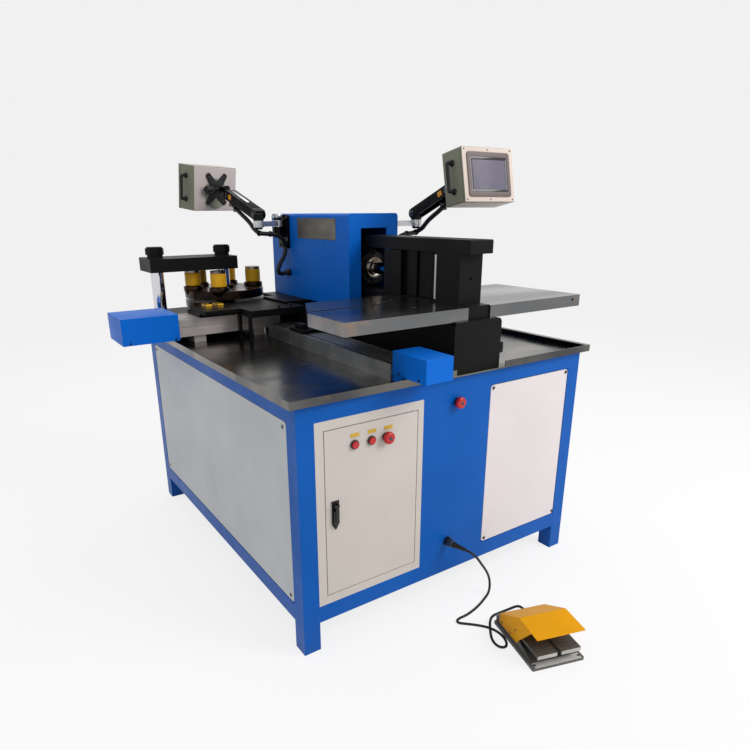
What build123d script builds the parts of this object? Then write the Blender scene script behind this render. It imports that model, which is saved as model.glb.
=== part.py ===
from build123d import *
import math
import os

# A hydraulic busbar processing machine: a cabinet on a welded tube frame with
# a bending press, a turret punch press, two feed modules, two control pendants
# on spring arms and a corded foot pedal.
# Millimetres. X runs along the front to the right, Y to the back, Z up.

# Cabinet frame and top
cabinet_width = 1250
cabinet_depth = 1460
cabinet_height = 852
tube = 60
tube_wall = 4
lower_rail_z = 104
tray_sheet = 5
tray_side_lip = 28
tray_end_lip = 21
tray_rim_height = 25
rim_sheet = 3
panel_sheet = 3
panel_gap = 3
panel_corner = 12
tab_size = 34

# Front: door bay, blue sheet, white panel
door_bay_right = 471
sheet_bay_right = 773
door_border = 30
door_gap = 3
door_sheet = 2
door_depth = 18
door_pin_radius = 4
pin_clearance = 0.05
lock_x = 125
lock_z = cabinet_height - 374
button_z = cabinet_height - 155
button_x = (199, 262)
door_estop_x = 319
front_estop = (617, cabinet_height - 93)
socket_x = 598
socket_z = lower_rail_z + 126
ring_radius = 15
plunger_radius = 9
plunger_clearance = 0.3
button_travel = 4
estop_radius = 20
estop_travel = 5

# Bending press
base_left = 600
base_width = 200
base_length = 1270
base_height = cabinet_height + 170
base_wall = 22
frame_left = 657
frame_width = 100
frame_front = 15
frame_length = 985
beam_height = 50
top_beam_height = 44
daylight = 166
column_front = 60
column_depth = 118
rear_column = 85
die_depth = 9
die_groove = 40
pusher_front = 380
pusher_length = 105
pusher_lift = 2
pusher_head_gap = 3
neck_length = 72
neck_width = 60
punch_width = 44
punch_taper = 40
punch_gap = 10
gland_face = 632
gland_length = 33
ram_rod_radius = 24
ram_bore_radius = 45
ram_barrel_radius = 70
ram_stroke = 125
ram_close = 6
ram_clearance = 0.05
table_top = base_height + 48
table_thickness = 42
table_front = 10
table_back = 440
left_table_end = 175
right_table_end = 1227

# Cover over the bending cylinder
cover_left = 580
cover_width = 236
cover_front = 610
cover_length = 674
cover_top = base_height + 342
cover_sheet = 3
cover_corner = 14
cover_mouth_left = 636
cover_mouth_top = base_height + 287

# Feed modules
y_rail_left = 375
y_rail_width = 120
y_rail_front = 55
y_rail_length = 895
y_rail_height = 55
x_rail_left = 5
x_rail_length = 440
x_rail_front = 995
x_rail_width = 160
x_rail_z = cabinet_height + 36
x_rail_height = 70
slide_clearance = 0.3
motor_cover_sheet = 2

# Turret punch press
turret_x = 325
turret_y = 1300
post_spacing = 305
post_radius = 28
post_clearance = 0.05
turret_radius = 180
pitch_radius = 147
stations = 6
lower_disc_z = cabinet_height + 110
lower_disc_height = 28
throat = 13
upper_disc_height = 37
hub_radius = 46
punch_radius = 17.5
punch_tip_radius = 8
stripper_radius = 35
stripper_height = 59
cap_height = 11
punch_stroke = 16
punch_base_top = cabinet_height + 93
beam_gap = 2
crosshead_depth = 180
crosshead_height = 56
overhang = 48
right_overhang = 40
nut_height = 46
nut_across = 80
nut_neck = 14

# Pendants and their arms
pendant_width = 256
pendant_height = 193
pendant_depth = 106
pendant_sheet = 3
arm_z = cover_top - 56
arm_height = 28
arm_hub_radius = 22
arm_pin_radius = 10
lift_pivot_z = arm_z + 54
head_pivot_z = lift_pivot_z + 86
spring_arm_width = 52
spring_arm_height = 40
spring_arm_sheet = 4
yoke_z = head_pivot_z + 22
yoke_reach = 47
tilt_offset = 28

# Foot pedal
pedal_x = 684
pedal_y = -370
pedal_turn = -17
pedal_width = 188
pedal_length = 250
pedal_plate = 10
pedal_wall = 5
guard_sheet = 2
treadle_angle = 8

cable_diameter = 9


def block(x0, x1, y0, y1, z0, z1):
    return Pos((x0 + x1) / 2, (y0 + y1) / 2, (z0 + z1) / 2) * Box(abs(x1 - x0), abs(y1 - y0), abs(z1 - z0))


def rod(x, y, z, radius, length, axis="Z"):
    turn = {"X": Rot(0, 90, 0), "Y": Rot(-90, 0, 0), "Z": Rot(0, 0, 0)}[axis]
    return Pos(x, y, z) * turn * Pos(0, 0, length / 2) * Cylinder(radius, length)


def rounded(shape, axis, radius):
    return fillet(shape.edges().filter_by(axis), radius)


def prism(points, depth, plane):
    face = plane * make_face(Polyline(*points, close=True))
    return extrude(face, depth)


def joined(shapes):
    whole = shapes[0]
    for extra in shapes[1:]:
        whole = whole + extra
    return whole


nodes = {}

# Welded tube frame
inner = tube - tube_wall
rail_top = lower_rail_z + tube
upper_rail_z = cabinet_height - tube
bars = []
bores = []
for x in (0, cabinet_width - tube):
    for y in (0, cabinet_depth - tube):
        bars.append(block(x, x + tube, y, y + tube, 0, cabinet_height))
        bores.append(block(x + tube_wall, x + inner, y + tube_wall, y + inner, tube_wall + 2, cabinet_height - tube_wall))
for z in (lower_rail_z, upper_rail_z):
    for y in (0, cabinet_depth - tube):
        bars.append(block(tube, cabinet_width - tube, y, y + tube, z, z + tube))
        bores.append(block(tube + tube_wall, cabinet_width - tube - tube_wall, y + tube_wall, y + inner, z + tube_wall, z + inner))
    for x in (0, cabinet_width - tube):
        bars.append(block(x, x + tube, tube, cabinet_depth - tube, z, z + tube))
        bores.append(block(x + tube_wall, x + inner, tube + tube_wall, cabinet_depth - tube - tube_wall, z + tube_wall, z + inner))
base_frame = joined(bars) - joined(bores)
post_width = 40
frame_posts = []
for x in (door_bay_right, sheet_bay_right - post_width):
    frame_posts.append(block(x, x + post_width, panel_sheet, panel_sheet + post_width, rail_top, upper_rail_z))
shelf_left = 640
shelf_right = 1120
shelf_height = 40
for x in (shelf_left, shelf_right - post_width):
    frame_posts.append(block(x, x + post_width, tube, cabinet_depth - tube, lower_rail_z, lower_rail_z + shelf_height))
base_frame = base_frame + joined(frame_posts)

# Screw tabs behind the corners of each panel
tab_seat = 1 + panel_sheet
tabs = []
for z0, z1 in ((rail_top, rail_top + tab_size), (upper_rail_z - tab_size, upper_rail_z)):
    for y0, y1 in ((tube, tube + tab_size), (cabinet_depth - tube - tab_size, cabinet_depth - tube)):
        tabs.append(block(tab_seat, tab_seat + 3, y0, y1, z0, z1))
        tabs.append(block(cabinet_width - tab_seat - 3, cabinet_width - tab_seat, y0, y1, z0, z1))
    for x0, x1 in ((tube, tube + tab_size), (cabinet_width - tube - tab_size, cabinet_width - tube)):
        tabs.append(block(x0, x1, cabinet_depth - tab_seat - 3, cabinet_depth - tab_seat, z0, z1))
    tabs.append(block(cabinet_width - tube - tab_size, cabinet_width - tube, tab_seat, tab_seat + 3, z0, z1))
nodes["base_frame"] = base_frame + joined(tabs)

# Side, back and front infill panels, seated on the tabs
z0 = rail_top + panel_gap
z1 = upper_rail_z - panel_gap
y0 = tube + panel_gap
y1 = cabinet_depth - tube - panel_gap
left_panel = rounded(block(1, tab_seat, y0, y1, z0, z1), Axis.X, panel_corner)
right_panel = rounded(block(cabinet_width - tab_seat, cabinet_width - 1, y0, y1, z0, z1), Axis.X, panel_corner)
back_panel = rounded(block(tube + panel_gap, cabinet_width - tube - panel_gap, cabinet_depth - tab_seat, cabinet_depth - 1, z0, z1), Axis.Y, panel_corner)
nodes["side_panels"] = Compound([left_panel, right_panel, back_panel])
front_panel = rounded(block(sheet_bay_right + panel_gap, cabinet_width - tube - panel_gap, 1, tab_seat, z0, z1), Axis.Y, panel_corner)
nodes["front_panel"] = front_panel
front_tabs = joined([block(sheet_bay_right - 2, sheet_bay_right + tab_size, tab_seat, tab_seat + 3, z, z + tab_size) for z in (rail_top, upper_rail_z - tab_size)])
nodes["base_frame"] = nodes["base_frame"] + front_tabs

# Welded front sheet with holes for the switch and the socket
switch_hole = plunger_radius + 2.5
socket_hole = 12
sheet = block(door_bay_right, sheet_bay_right, 0, panel_sheet, rail_top, upper_rail_z)
sheet = sheet - rod(front_estop[0], -1, front_estop[1], switch_hole, 10, "Y") - rod(socket_x, -1, socket_z, socket_hole, 10, "Y")
nodes["front_sheet"] = sheet

# Door surround with a return flange, and the door leaf on two corner pins
bay_left = tube
opening = (bay_left + door_border, door_bay_right - 22, rail_top + door_border, upper_rail_z - door_border)
flange_depth = 25
surround = block(bay_left, door_bay_right, 0, door_sheet, rail_top, upper_rail_z)
surround = surround + block(opening[0] - door_sheet, opening[1] + door_sheet, 0, flange_depth, opening[2] - door_sheet, opening[3] + door_sheet)
surround = surround - block(opening[0], opening[1], -1, flange_depth + 1, opening[2], opening[3])
leaf = (opening[0] + door_gap, opening[1] - door_gap, opening[2] + door_gap, opening[3] - door_gap)
pin_x = leaf[1] - 8
pin_y = 6
lug = 10
for z in (opening[2] - lug, opening[3]):
    surround = surround + block(pin_x - 9, opening[1] + door_sheet, door_sheet, pin_y + 9, z, z + lug)
pin_bore = door_pin_radius + pin_clearance
surround = surround - rod(pin_x, pin_y, opening[2] - 8, pin_bore, 20) - rod(pin_x, pin_y, opening[3] - 12, pin_bore, 20)
nodes["door_surround"] = surround
door = block(leaf[0], leaf[1], 0, door_depth, leaf[2], leaf[3])
door = door - block(leaf[0] + door_sheet, leaf[1] - door_sheet, door_sheet, door_depth + 1, leaf[2] + door_sheet, leaf[3] - door_sheet)
for x in button_x + (door_estop_x,):
    door = door - rod(x, -1, button_z, switch_hole, 10, "Y")
lock_shaft = 5
door = door - rod(lock_x, -1, lock_z + 34, lock_shaft + pin_clearance, 10, "Y")
pin_reach = door_gap + 7
door = door + rod(pin_x, pin_y, leaf[2] - pin_reach, door_pin_radius, pin_reach + door_sheet)
door = door + rod(pin_x, pin_y, leaf[3] - door_sheet, door_pin_radius, pin_reach + door_sheet)
door = door + block(pin_x - 7, leaf[1], door_sheet, pin_y + 7, leaf[2], leaf[2] + door_sheet + 6)
door = door + block(pin_x - 7, leaf[1], door_sheet, pin_y + 7, leaf[3] - door_sheet - 6, leaf[3])
nodes["door_leaf"] = door

# Swing lock: backing plate with a pointed foot, cam on a shaft, lever that lifts.
# The tongue hangs clear of the surround at rest and reaches behind it after a quarter turn
lock_plate = [(lock_x - 14, lock_z + 50), (lock_x + 14, lock_z + 50), (lock_x + 14, lock_z - 30), (lock_x, lock_z - 52), (lock_x - 14, lock_z - 30)]
plate = prism(lock_plate, 3, Plane.XZ)
door = door + plate - rod(lock_x, -5, lock_z + 34, lock_shaft + pin_clearance, 10, "Y")
nodes["door_leaf"] = door
cam = rod(lock_x, -12, lock_z + 34, lock_shaft, flange_depth + 17, "Y")
cam = cam + rod(lock_x, -15, lock_z + 34, 9, 11.7, "Y")
tongue_reach = lock_x - opening[0] + 12
cam = cam + block(lock_x - 8, lock_x + 8, flange_depth + 1, flange_depth + 5, lock_z + 34 - tongue_reach, lock_z + 42)
cam = cam - block(lock_x - 4, lock_x + 4, -16, -4.6, lock_z + 20, lock_z + 48) - rod(lock_x - 12, -10.5, lock_z + 34, 2 + pin_clearance, 24, "X")
nodes["lock_cam"] = cam
lever = block(lock_x - 3.7, lock_x + 3.7, -14, -7, lock_z - 20, lock_z + 38)
lever = lever + prism([(lock_x - 10, lock_z + 18), (lock_x + 10, lock_z + 18), (lock_x + 10, lock_z - 24), (lock_x, lock_z - 42), (lock_x - 10, lock_z - 24)], 6, Plane.XZ.offset(5))
nodes["lock_lever"] = lever + rod(lock_x - 9, -10.5, lock_z + 34, 2, 18, "X")

# Push buttons and mushroom stops: threaded rings in the sheet, plungers in the rings
ring_reach = 26


def switch_ring(x, z, sheet_back):
    ring = rod(x, -6, z, ring_radius, 6, "Y") + rod(x, 0, z, switch_hole, ring_reach, "Y")
    ring = ring + rod(x, sheet_back, z, ring_radius, 5, "Y")
    ring = ring - rod(x, -7, z, plunger_radius + plunger_clearance, ring_reach + 8, "Y")
    return ring


button_cap = 11.5
ring_recess = button_cap + plunger_clearance
rings = []
for i, x in enumerate(button_x):
    ring = switch_ring(x, button_z, door_sheet) - rod(x, -7, button_z, ring_recess, 6.2, "Y")
    rings.append(ring)
    button = rod(x, -10, button_z, button_cap, 4.5, "Y") + rod(x, -5.5, button_z, plunger_radius, 22, "Y")
    nodes["button_left" if i == 0 else "button_right"] = button
rings.append(switch_ring(door_estop_x, button_z, door_sheet))
rings.append(switch_ring(front_estop[0], front_estop[1], panel_sheet))
nodes["door_switch_rings"] = Compound(rings[:3])


def mushroom(x, z):
    head = rod(x, -26, z, estop_radius, 13, "Y")
    head = fillet(head.faces().sort_by(Axis.Y)[0].edges(), 7)
    return head + rod(x, -13, z, plunger_radius, 28, "Y")


nodes["door_stop_button"] = mushroom(door_estop_x, button_z)
nodes["front_stop_button"] = mushroom(front_estop[0], front_estop[1])

# Round socket in the sheet, and the plug with its angled tail
socket = rod(socket_x, -8, socket_z, 17, 8, "Y") + rod(socket_x, 0, socket_z, socket_hole, 24, "Y")
socket = socket - rod(socket_x, -9, socket_z, 9, 20, "Y")
nodes["front_fittings"] = Compound([rings[3], socket])
plug_tail = 40
plug = rod(socket_x, -34, socket_z, 14, 26, "Y") + rod(socket_x, -12, socket_z, 9, 18, "Y")
cable_exit = (socket_x + 20, -80, socket_z - 7)
tail_from = (socket_x, -30, socket_z)
tail_vector = Vector(*cable_exit) - Vector(*tail_from)
tail = Plane(origin=tail_from, z_dir=tail_vector) * Pos(0, 0, tail_vector.length / 2) * Cone(11, 7, tail_vector.length)
nodes["cable_plug"] = plug + tail

# Steel tray on the frame, with an upturned rim open at the press
floor_z = cabinet_height + tray_sheet
rim_z = cabinet_height + tray_rim_height
tx0 = -tray_side_lip
tx1 = cabinet_width + tray_side_lip
ty0 = -tray_end_lip
ty1 = cabinet_depth + tray_end_lip
tray = block(tx0, tx1, ty0, ty1, cabinet_height, rim_z) - block(tx0 + rim_sheet, tx1 - rim_sheet, ty0 + rim_sheet, ty1 - rim_sheet, floor_z, rim_z + 1)
tray = tray + block(cabinet_width + 6, tx1, ty0, ty1, floor_z, rim_z)
mouth_left = base_left - 10
mouth_right = base_left + base_width + 16
tray = tray - block(mouth_left, mouth_right, ty0 - 1, 0, floor_z, rim_z + 1)
nodes["tray"] = tray

# Press base: box section on the tray with a thick front plate and a wide rear foot
front_plate_top = table_top - table_thickness
base = block(base_left, base_left + base_width, 0, base_length, floor_z, base_height)
base = base - block(base_left + base_wall, base_left + base_width - base_wall, base_wall, base_length - base_wall, floor_z - 1, base_height - base_wall)
face = block(mouth_left, mouth_right - 14, -rim_sheet, base_wall, floor_z, front_plate_top)
face = fillet(face.edges().filter_by(Axis.Y).group_by(Axis.Z)[-1], 18)
base = base + face + block(mouth_right - 14, mouth_right, -rim_sheet, base_wall, floor_z + 47, floor_z + 83)
rear_foot_left = 460
rear_foot_right = 900
rear_foot_front = 950
rear_foot_back = 1290
rear_foot_top = base_height - 22
turret_side = turret_x + turret_radius + 10
turret_front = turret_y - turret_radius + 45
foot_outline = make_face(Polyline((rear_foot_left, rear_foot_front), (rear_foot_right, rear_foot_front), (rear_foot_right, rear_foot_back), (turret_side, rear_foot_back), (turret_side, turret_front), (rear_foot_left, turret_front), close=True))
foot_inside = offset(foot_outline, -base_wall, kind=Kind.INTERSECTION)
foot = Pos(0, 0, floor_z) * extrude(foot_outline, rear_foot_top - floor_z) - Pos(0, 0, floor_z) * extrude(foot_inside, rear_foot_top - floor_z - base_wall)
base = base + foot
nodes["press_base"] = base - block(base_left - 1, base_left + base_width + 1, frame_front, base_length, base_height, base_height + 40) 

# Closed bending frame: two beams, front column, rear column, cut from one profile
frame_z = base_height
window_z0 = frame_z + beam_height
window_z1 = window_z0 + daylight
frame_top = window_z1 + top_beam_height
frame_back = frame_front + frame_length
profile = Rectangle(frame_length, frame_top - frame_z, align=(Align.MIN, Align.MIN))
window = Pos(column_front + column_depth - frame_front, beam_height) * Rectangle(frame_length - rear_column - column_front - column_depth + frame_front, daylight, align=(Align.MIN, Align.MIN))
window = fillet(window.vertices(), 8)
notch = Pos(0, beam_height) * Rectangle(column_front - frame_front, daylight, align=(Align.MIN, Align.MIN))
profile = profile - window - notch
press_frame = extrude(Plane(origin=(frame_left, frame_front, frame_z), x_dir=(0, 1, 0), z_dir=(1, 0, 0)) * profile, frame_width)
press_frame = chamfer(press_frame.edges().filter_by(Axis.X).group_by(Axis.Z)[-1], 4)
ram_z = window_z0 + daylight / 2
ram_x = frame_left + frame_width / 2
press_frame = press_frame - rod(ram_x, column_front - 1, ram_z, 5, 30, "Y")
nodes["bending_frame"] = press_frame

# Die plate with a vee groove on the back of the front column
die_front = column_front + column_depth
die = block(frame_left, frame_left + frame_width, die_front, die_front + die_depth, window_z0 + 8, window_z1 - 8)
vee = prism([(ram_x - die_groove / 2, die_front + die_depth + 1), (ram_x + die_groove / 2, die_front + die_depth + 1), (ram_x, die_front + 1)], daylight, Plane.XY.offset(window_z0))
nodes["bend_die"] = die - vee

# Cylinder between the beams, and the ram with piston, rod, pusher and bending punch
barrel_back = frame_back - rear_column
gland_back = gland_face + gland_length
barrel = rod(ram_x, gland_face, ram_z, 48, gland_length + 2, "Y") + rod(ram_x, gland_face + 14, ram_z, ram_barrel_radius, barrel_back - gland_face - 14, "Y")
barrel = barrel + block(ram_x - 48, ram_x + 48, gland_face + 60, gland_face + 120, window_z0, window_z1) + block(ram_x - 48, ram_x + 48, barrel_back - 80, barrel_back - 10, window_z0, window_z1)
barrel = barrel - rod(ram_x, gland_back, ram_z, ram_bore_radius, barrel_back - gland_back - 20, "Y") - rod(ram_x, gland_face - 1, ram_z, ram_rod_radius + ram_clearance, gland_length + 2, "Y")
nodes["ram_cylinder"] = barrel
pusher_back = pusher_front + pusher_length
pusher_z = window_z0 + pusher_lift
pusher_top = window_z1 - pusher_head_gap
pusher = block(frame_left, frame_left + frame_width, pusher_front, pusher_back, pusher_z, pusher_top)
pusher = chamfer(pusher.edges().filter_by(Axis.Z), 3)
neck_front = pusher_front - neck_length
pusher = pusher + block(ram_x - neck_width / 2, ram_x + neck_width / 2, neck_front, pusher_front + 2, pusher_z, pusher_top)
punch_tip = die_front + die_depth + punch_gap
edge = punch_width / 2
punch_line = [(ram_x - edge, neck_front + 1), (ram_x + edge, neck_front + 1), (ram_x + edge, punch_tip + punch_taper)]
punch_line = punch_line + [(ram_x + 4, punch_tip), (ram_x - 4, punch_tip), (ram_x - edge, punch_tip + punch_taper)]
pusher = pusher + prism(punch_line, pusher_top - pusher_z, Plane.XY.offset(pusher_z))
nodes["ram_pusher"] = pusher - rod(ram_x, pusher_back - 30, ram_z, ram_rod_radius, 40, "Y")
piston_length = 32
piston_front = barrel_back - 24 - piston_length - ram_stroke
ram = rod(ram_x, pusher_back - 30, ram_z, ram_rod_radius, piston_front - pusher_back + 34, "Y")
nodes["ram_rod"] = ram + rod(ram_x, piston_front, ram_z, ram_bore_radius - ram_clearance, piston_length, "Y")

# Work tables either side of the lower beam
table_z = table_top - table_thickness
left_outline = [(left_table_end, table_front), (frame_left, table_front), (frame_left, table_back), (left_table_end + 110, table_back), (left_table_end, 225)]
left_table = prism(left_outline, table_thickness, Plane.XY.offset(table_z))
groove_y = 243
left_table = left_table - block(left_table_end - 1, frame_left - 90, groove_y - 6, groove_y + 6, table_top - 8, table_top + 1)
left_table = left_table - block(left_table_end - 1, frame_left + 1, table_back - 14, table_back + 1, table_top - 3, table_top + 1)
right_left = frame_left + frame_width
right_table = block(right_left, right_table_end, table_front, table_back, table_z, table_top)
right_table = right_table - rod(right_table_end - 44, table_front - 1, table_top - 16, 5, 30, "Y")
right_table = chamfer(right_table.edges().filter_by(Axis.Z).group_by(Axis.X)[-1], 3)
nodes["work_tables"] = Compound([left_table, right_table])

# Sheet cover over the bending cylinder, open at the front for the frame
cover_back = cover_front + cover_length
cover_right = cover_left + cover_width
cover = block(cover_left, cover_right, cover_front, cover_back, rear_foot_top, cover_top)
cover = fillet(cover.edges().filter_by(Axis.Y).group_by(Axis.Z)[-1], cover_corner)
hollow = block(cover_left + cover_sheet, cover_right - cover_sheet, cover_front + cover_sheet, cover_back - cover_sheet, rear_foot_top - 1, cover_top - cover_sheet)
hollow = fillet(hollow.edges().filter_by(Axis.Y).group_by(Axis.Z)[-1], cover_corner - cover_sheet)
mouth = block(cover_mouth_left, right_left + 3, cover_front - 1, cover_front + 20, rear_foot_top - 1, cover_mouth_top)
foot_slot = block(base_left - 1, base_left + base_width + 1, cover_front - 1, cover_front + 20, rear_foot_top - 1, base_height)
nodes["cylinder_cover"] = cover - hollow - mouth - foot_slot - block(base_left, base_left + base_width, cover_front - 1, base_length, rear_foot_top - 1, base_height)

# Feed module: extruded rail with two top slots, carriage and motor cover,
# built along +Y from its front end and turned into place
slot_width = 12
slot_depth = 9


def slot_places(width):
    return (width * 0.18, width * 0.82)


def feed_rail(width, height, length):
    rail = block(0, width, 0, length, 0, height)
    for x in slot_places(width):
        rail = rail - block(x - slot_width / 2, x + slot_width / 2, 10, length - 10, height - slot_depth, height + 1)
    for side in (0, width):
        rail = rail - block(side - 3, side + 3, -1, length + 1, height * 0.42, height * 0.58)
    return rail


def feed_carriage(width, height, start, depth, plate):
    carriage = block(6, width - 6, start, start + depth, height + slide_clearance, height + plate)
    for x in slot_places(width):
        carriage = carriage + block(x - slot_width / 2 + 1, x + slot_width / 2 - 1, start, start + depth, height - slot_depth + 1, height + 1)
    return carriage


y_place = Pos(y_rail_left, y_rail_front, floor_z)
y_carriage_start = 590
y_carriage_depth = 110
y_plate = 14
nodes["y_rail"] = y_place * feed_rail(y_rail_width, y_rail_height, y_rail_length)
y_carriage = feed_carriage(y_rail_width, y_rail_height, y_carriage_start, y_carriage_depth, y_plate)
stop_foot = y_rail_height + y_plate
nodes["y_carriage"] = y_place * (y_carriage + block(14, 44, y_carriage_start + 20, y_carriage_start + 80, stop_foot, stop_foot + 20))
x_place = Pos(x_rail_left + x_rail_length, x_rail_front, x_rail_z) * Rot(0, 0, 90)
x_carriage_start = x_rail_length - 245
x_carriage_depth = 157
x_plate = 17
x_rail_right = x_rail_left + x_rail_length
x_rail_back = x_rail_front + x_rail_width
x_rail_top = x_rail_z + x_rail_height
end_plate = 8
x_rail = x_place * feed_rail(x_rail_width, x_rail_height, x_rail_length)
for x in (x_rail_left + 60, x_rail_right - 110):
    x_rail = x_rail + block(x, x + 50, x_rail_front + 15, x_rail_back - 15, floor_z, x_rail_z)
x_rail = x_rail + block(x_rail_left - end_plate, x_rail_left, x_rail_front - 2, x_rail_back + 2, x_rail_z - 2, x_rail_top + 2)
x_rail = x_rail + block(x_rail_right, x_rail_right + 12, x_rail_front - 1, x_rail_back + 1, x_rail_z - 1, x_rail_top + 1)
nodes["x_rail"] = x_rail
carriage = x_place * feed_carriage(x_rail_width, x_rail_height, x_carriage_start, x_carriage_depth, x_plate)
carriage_right = x_rail_right - x_carriage_start
carriage_left = carriage_right - x_carriage_depth
carriage_z = x_rail_top + x_plate
fixture_height = 15
fixture = block(carriage_left, carriage_right, x_rail_front - 55, x_rail_front + 125, carriage_z, carriage_z + fixture_height)
turret_sweep = rod(turret_x, turret_y, x_rail_top, turret_radius + 6, 80)
nodes["x_carriage"] = carriage + chamfer(fixture.edges().filter_by(Axis.Z), 2) - turret_sweep
jaw_y = x_rail_front + 35
jaws = []
for x in (carriage_left + 42, carriage_left + 92):
    jaw = block(x, x + 26, jaw_y, jaw_y + 60, carriage_z + fixture_height, carriage_z + fixture_height + 14)
    jaws.append(chamfer(jaw.edges().filter_by(Axis.X).group_by(Axis.Z)[-1], 4))
nodes["clamp_jaws"] = Compound(jaws)

# Sheet covers over the two feed motors, each open towards its rail
sheet_in = motor_cover_sheet
x_cover_left = -228
x_cover_right = x_rail_left - end_plate
x_cover = rounded(block(x_cover_left, x_cover_right, x_rail_front - 18, x_rail_back + 42, x_rail_z - 8, x_rail_z + 97), Axis.Z, 3)
x_cover = x_cover - block(x_cover_left + sheet_in, x_cover_right + 1, x_rail_front - 18 + sheet_in, x_rail_back + 42 - sheet_in, x_rail_z - 8 + sheet_in, x_rail_z + 97 - sheet_in)
y_cover_front = -113
y_cover = rounded(block(y_rail_left + 6, y_rail_left + y_rail_width - 6, y_cover_front, y_rail_front, floor_z + 22, floor_z + 98), Axis.Z, 3)
y_cover = y_cover - block(y_rail_left + 6 + sheet_in, y_rail_left + y_rail_width - 6 - sheet_in, y_cover_front + sheet_in, y_rail_front + 1, floor_z + 22 + sheet_in, floor_z + 98 - sheet_in)
y_cover = y_cover + block(y_rail_left + 10, y_rail_left + y_rail_width - 10, y_rail_front - 50, y_rail_front, floor_z, floor_z + 22 + sheet_in)
nodes["motor_covers"] = Compound([x_cover, y_cover])

# Turret punch press: base block, rest plate, guide posts and crosshead with nuts
left_post_x = turret_x - post_spacing
lower_top = lower_disc_z + lower_disc_height
upper_z = lower_top + throat
upper_top = upper_z + upper_disc_height
stripper_z = upper_top + punch_stroke + 2
beam_z = stripper_z + stripper_height + cap_height + beam_gap
beam_top = beam_z + crosshead_height
punch_base = block(left_post_x - 40, turret_x + 95, turret_y - 100, turret_y + 130, floor_z, punch_base_top)
punch_base = chamfer(punch_base.edges().filter_by(Axis.Z), 6)
pocket_z = floor_z + 18
for x in (left_post_x, turret_x):
    punch_base = punch_base - rod(x, turret_y, pocket_z, post_radius + post_clearance, 200)
rest_left = 254
rest_right = 506
rest_front = 850
rest_z = lower_disc_z
rest_top = lower_disc_z + lower_disc_height
rest = block(rest_left, rest_right, rest_front, 1190, rest_z, rest_top) - rod(turret_x, turret_y, rest_z - 1, turret_radius + 6, 60)
rest = rest - block(rear_foot_left, rest_right + 1, rear_foot_front, turret_y, rest_z - 1, rest_top + 1)
leg = 9
for x, y in ((rest_left, rest_front + 8), (rest_right - leg, rest_front + 8), (rest_left, x_rail_front - 30)):
    rest = rest + block(x, x + leg, y, y + 24, floor_z, rest_z)
nodes["punch_base"] = Compound([punch_base, rest])
post_foot = pocket_z + punch_stroke + 6
nodes["guide_posts"] = Compound([rod(x, turret_y, post_foot, post_radius, beam_top + nut_height - 8 - post_foot) for x in (left_post_x, turret_x)])
crosshead = block(left_post_x - overhang, turret_x + right_overhang, turret_y - crosshead_depth / 2, turret_y + crosshead_depth / 2, beam_z, beam_top)
crosshead = chamfer(crosshead.edges().filter_by(Axis.Z), 5)
for x in (left_post_x, turret_x):
    nut = Pos(x, turret_y, beam_top + nut_neck) * extrude(RegularPolygon(nut_across / 2, 8), nut_height - nut_neck - 5)
    crosshead = crosshead + nut + rod(x, turret_y, beam_top - 1, post_radius + 5, nut_height + 1)
for x in (left_post_x, turret_x):
    crosshead = crosshead - rod(x, turret_y, beam_z - 1, post_radius, crosshead_height + nut_height - 7)
nodes["crosshead"] = crosshead

# Turret discs on one hub, with die holes in the lower disc
places = []
for i in range(stations):
    angle = math.radians(180 + i * 360 / stations)
    places.append((turret_x + pitch_radius * math.cos(angle), turret_y + pitch_radius * math.sin(angle)))
working = places[0]
empty = 2
loaded = [places[i] for i in range(1, stations) if i != empty]
upper_disc = rod(turret_x, turret_y, upper_z, turret_radius, upper_disc_height)
upper_disc = chamfer(upper_disc.faces().sort_by(Axis.Z)[-1].edges(), 3)
upper_disc = upper_disc + rod(turret_x, turret_y, lower_top, hub_radius, upper_top - lower_top + 12)
lower_disc = rod(turret_x, turret_y, lower_disc_z, turret_radius, lower_disc_height)
lower_disc = chamfer(lower_disc.faces().sort_by(Axis.Z)[0].edges(), 3)
lower_disc = lower_disc + rod(turret_x, turret_y, punch_base_top + slide_clearance, hub_radius, lower_disc_z + 1 - punch_base_top - slide_clearance)
hub_bore = rod(turret_x, turret_y, punch_base_top, post_radius + slide_clearance, 200)
upper_disc = upper_disc - hub_bore
lower_disc = lower_disc - hub_bore
for x, y in places:
    upper_disc = upper_disc - rod(x, y, upper_z - 1, punch_radius + post_clearance, upper_disc_height + 2)
    lower_disc = lower_disc - rod(x, y, lower_disc_z - 1, punch_tip_radius + slide_clearance, lower_disc_height + 2)
nodes["upper_turret"] = upper_disc
nodes["lower_turret"] = lower_disc


# Punch with tip, shank and black cap, and its yellow stripper sleeve
def punch_at(x, y):
    shank_z = upper_z + punch_stroke
    punch = rod(x, y, upper_z + 1, punch_tip_radius, punch_stroke) + rod(x, y, shank_z, punch_radius, stripper_z + stripper_height - shank_z)
    return punch + rod(x, y, stripper_z + stripper_height, stripper_radius - 1, cap_height)


def stripper_at(x, y):
    sleeve = rod(x, y, stripper_z, stripper_radius, stripper_height)
    sleeve = chamfer(sleeve.edges().filter_by(GeomType.CIRCLE), 3)
    return sleeve - rod(x, y, stripper_z - 1, punch_radius, stripper_height + 2)


nodes["working_punch"] = punch_at(*working)
nodes["working_stripper"] = stripper_at(*working)
nodes["punches"] = Compound([punch_at(*p) for p in loaded])
nodes["strippers"] = Compound([stripper_at(*p) for p in loaded])

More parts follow.
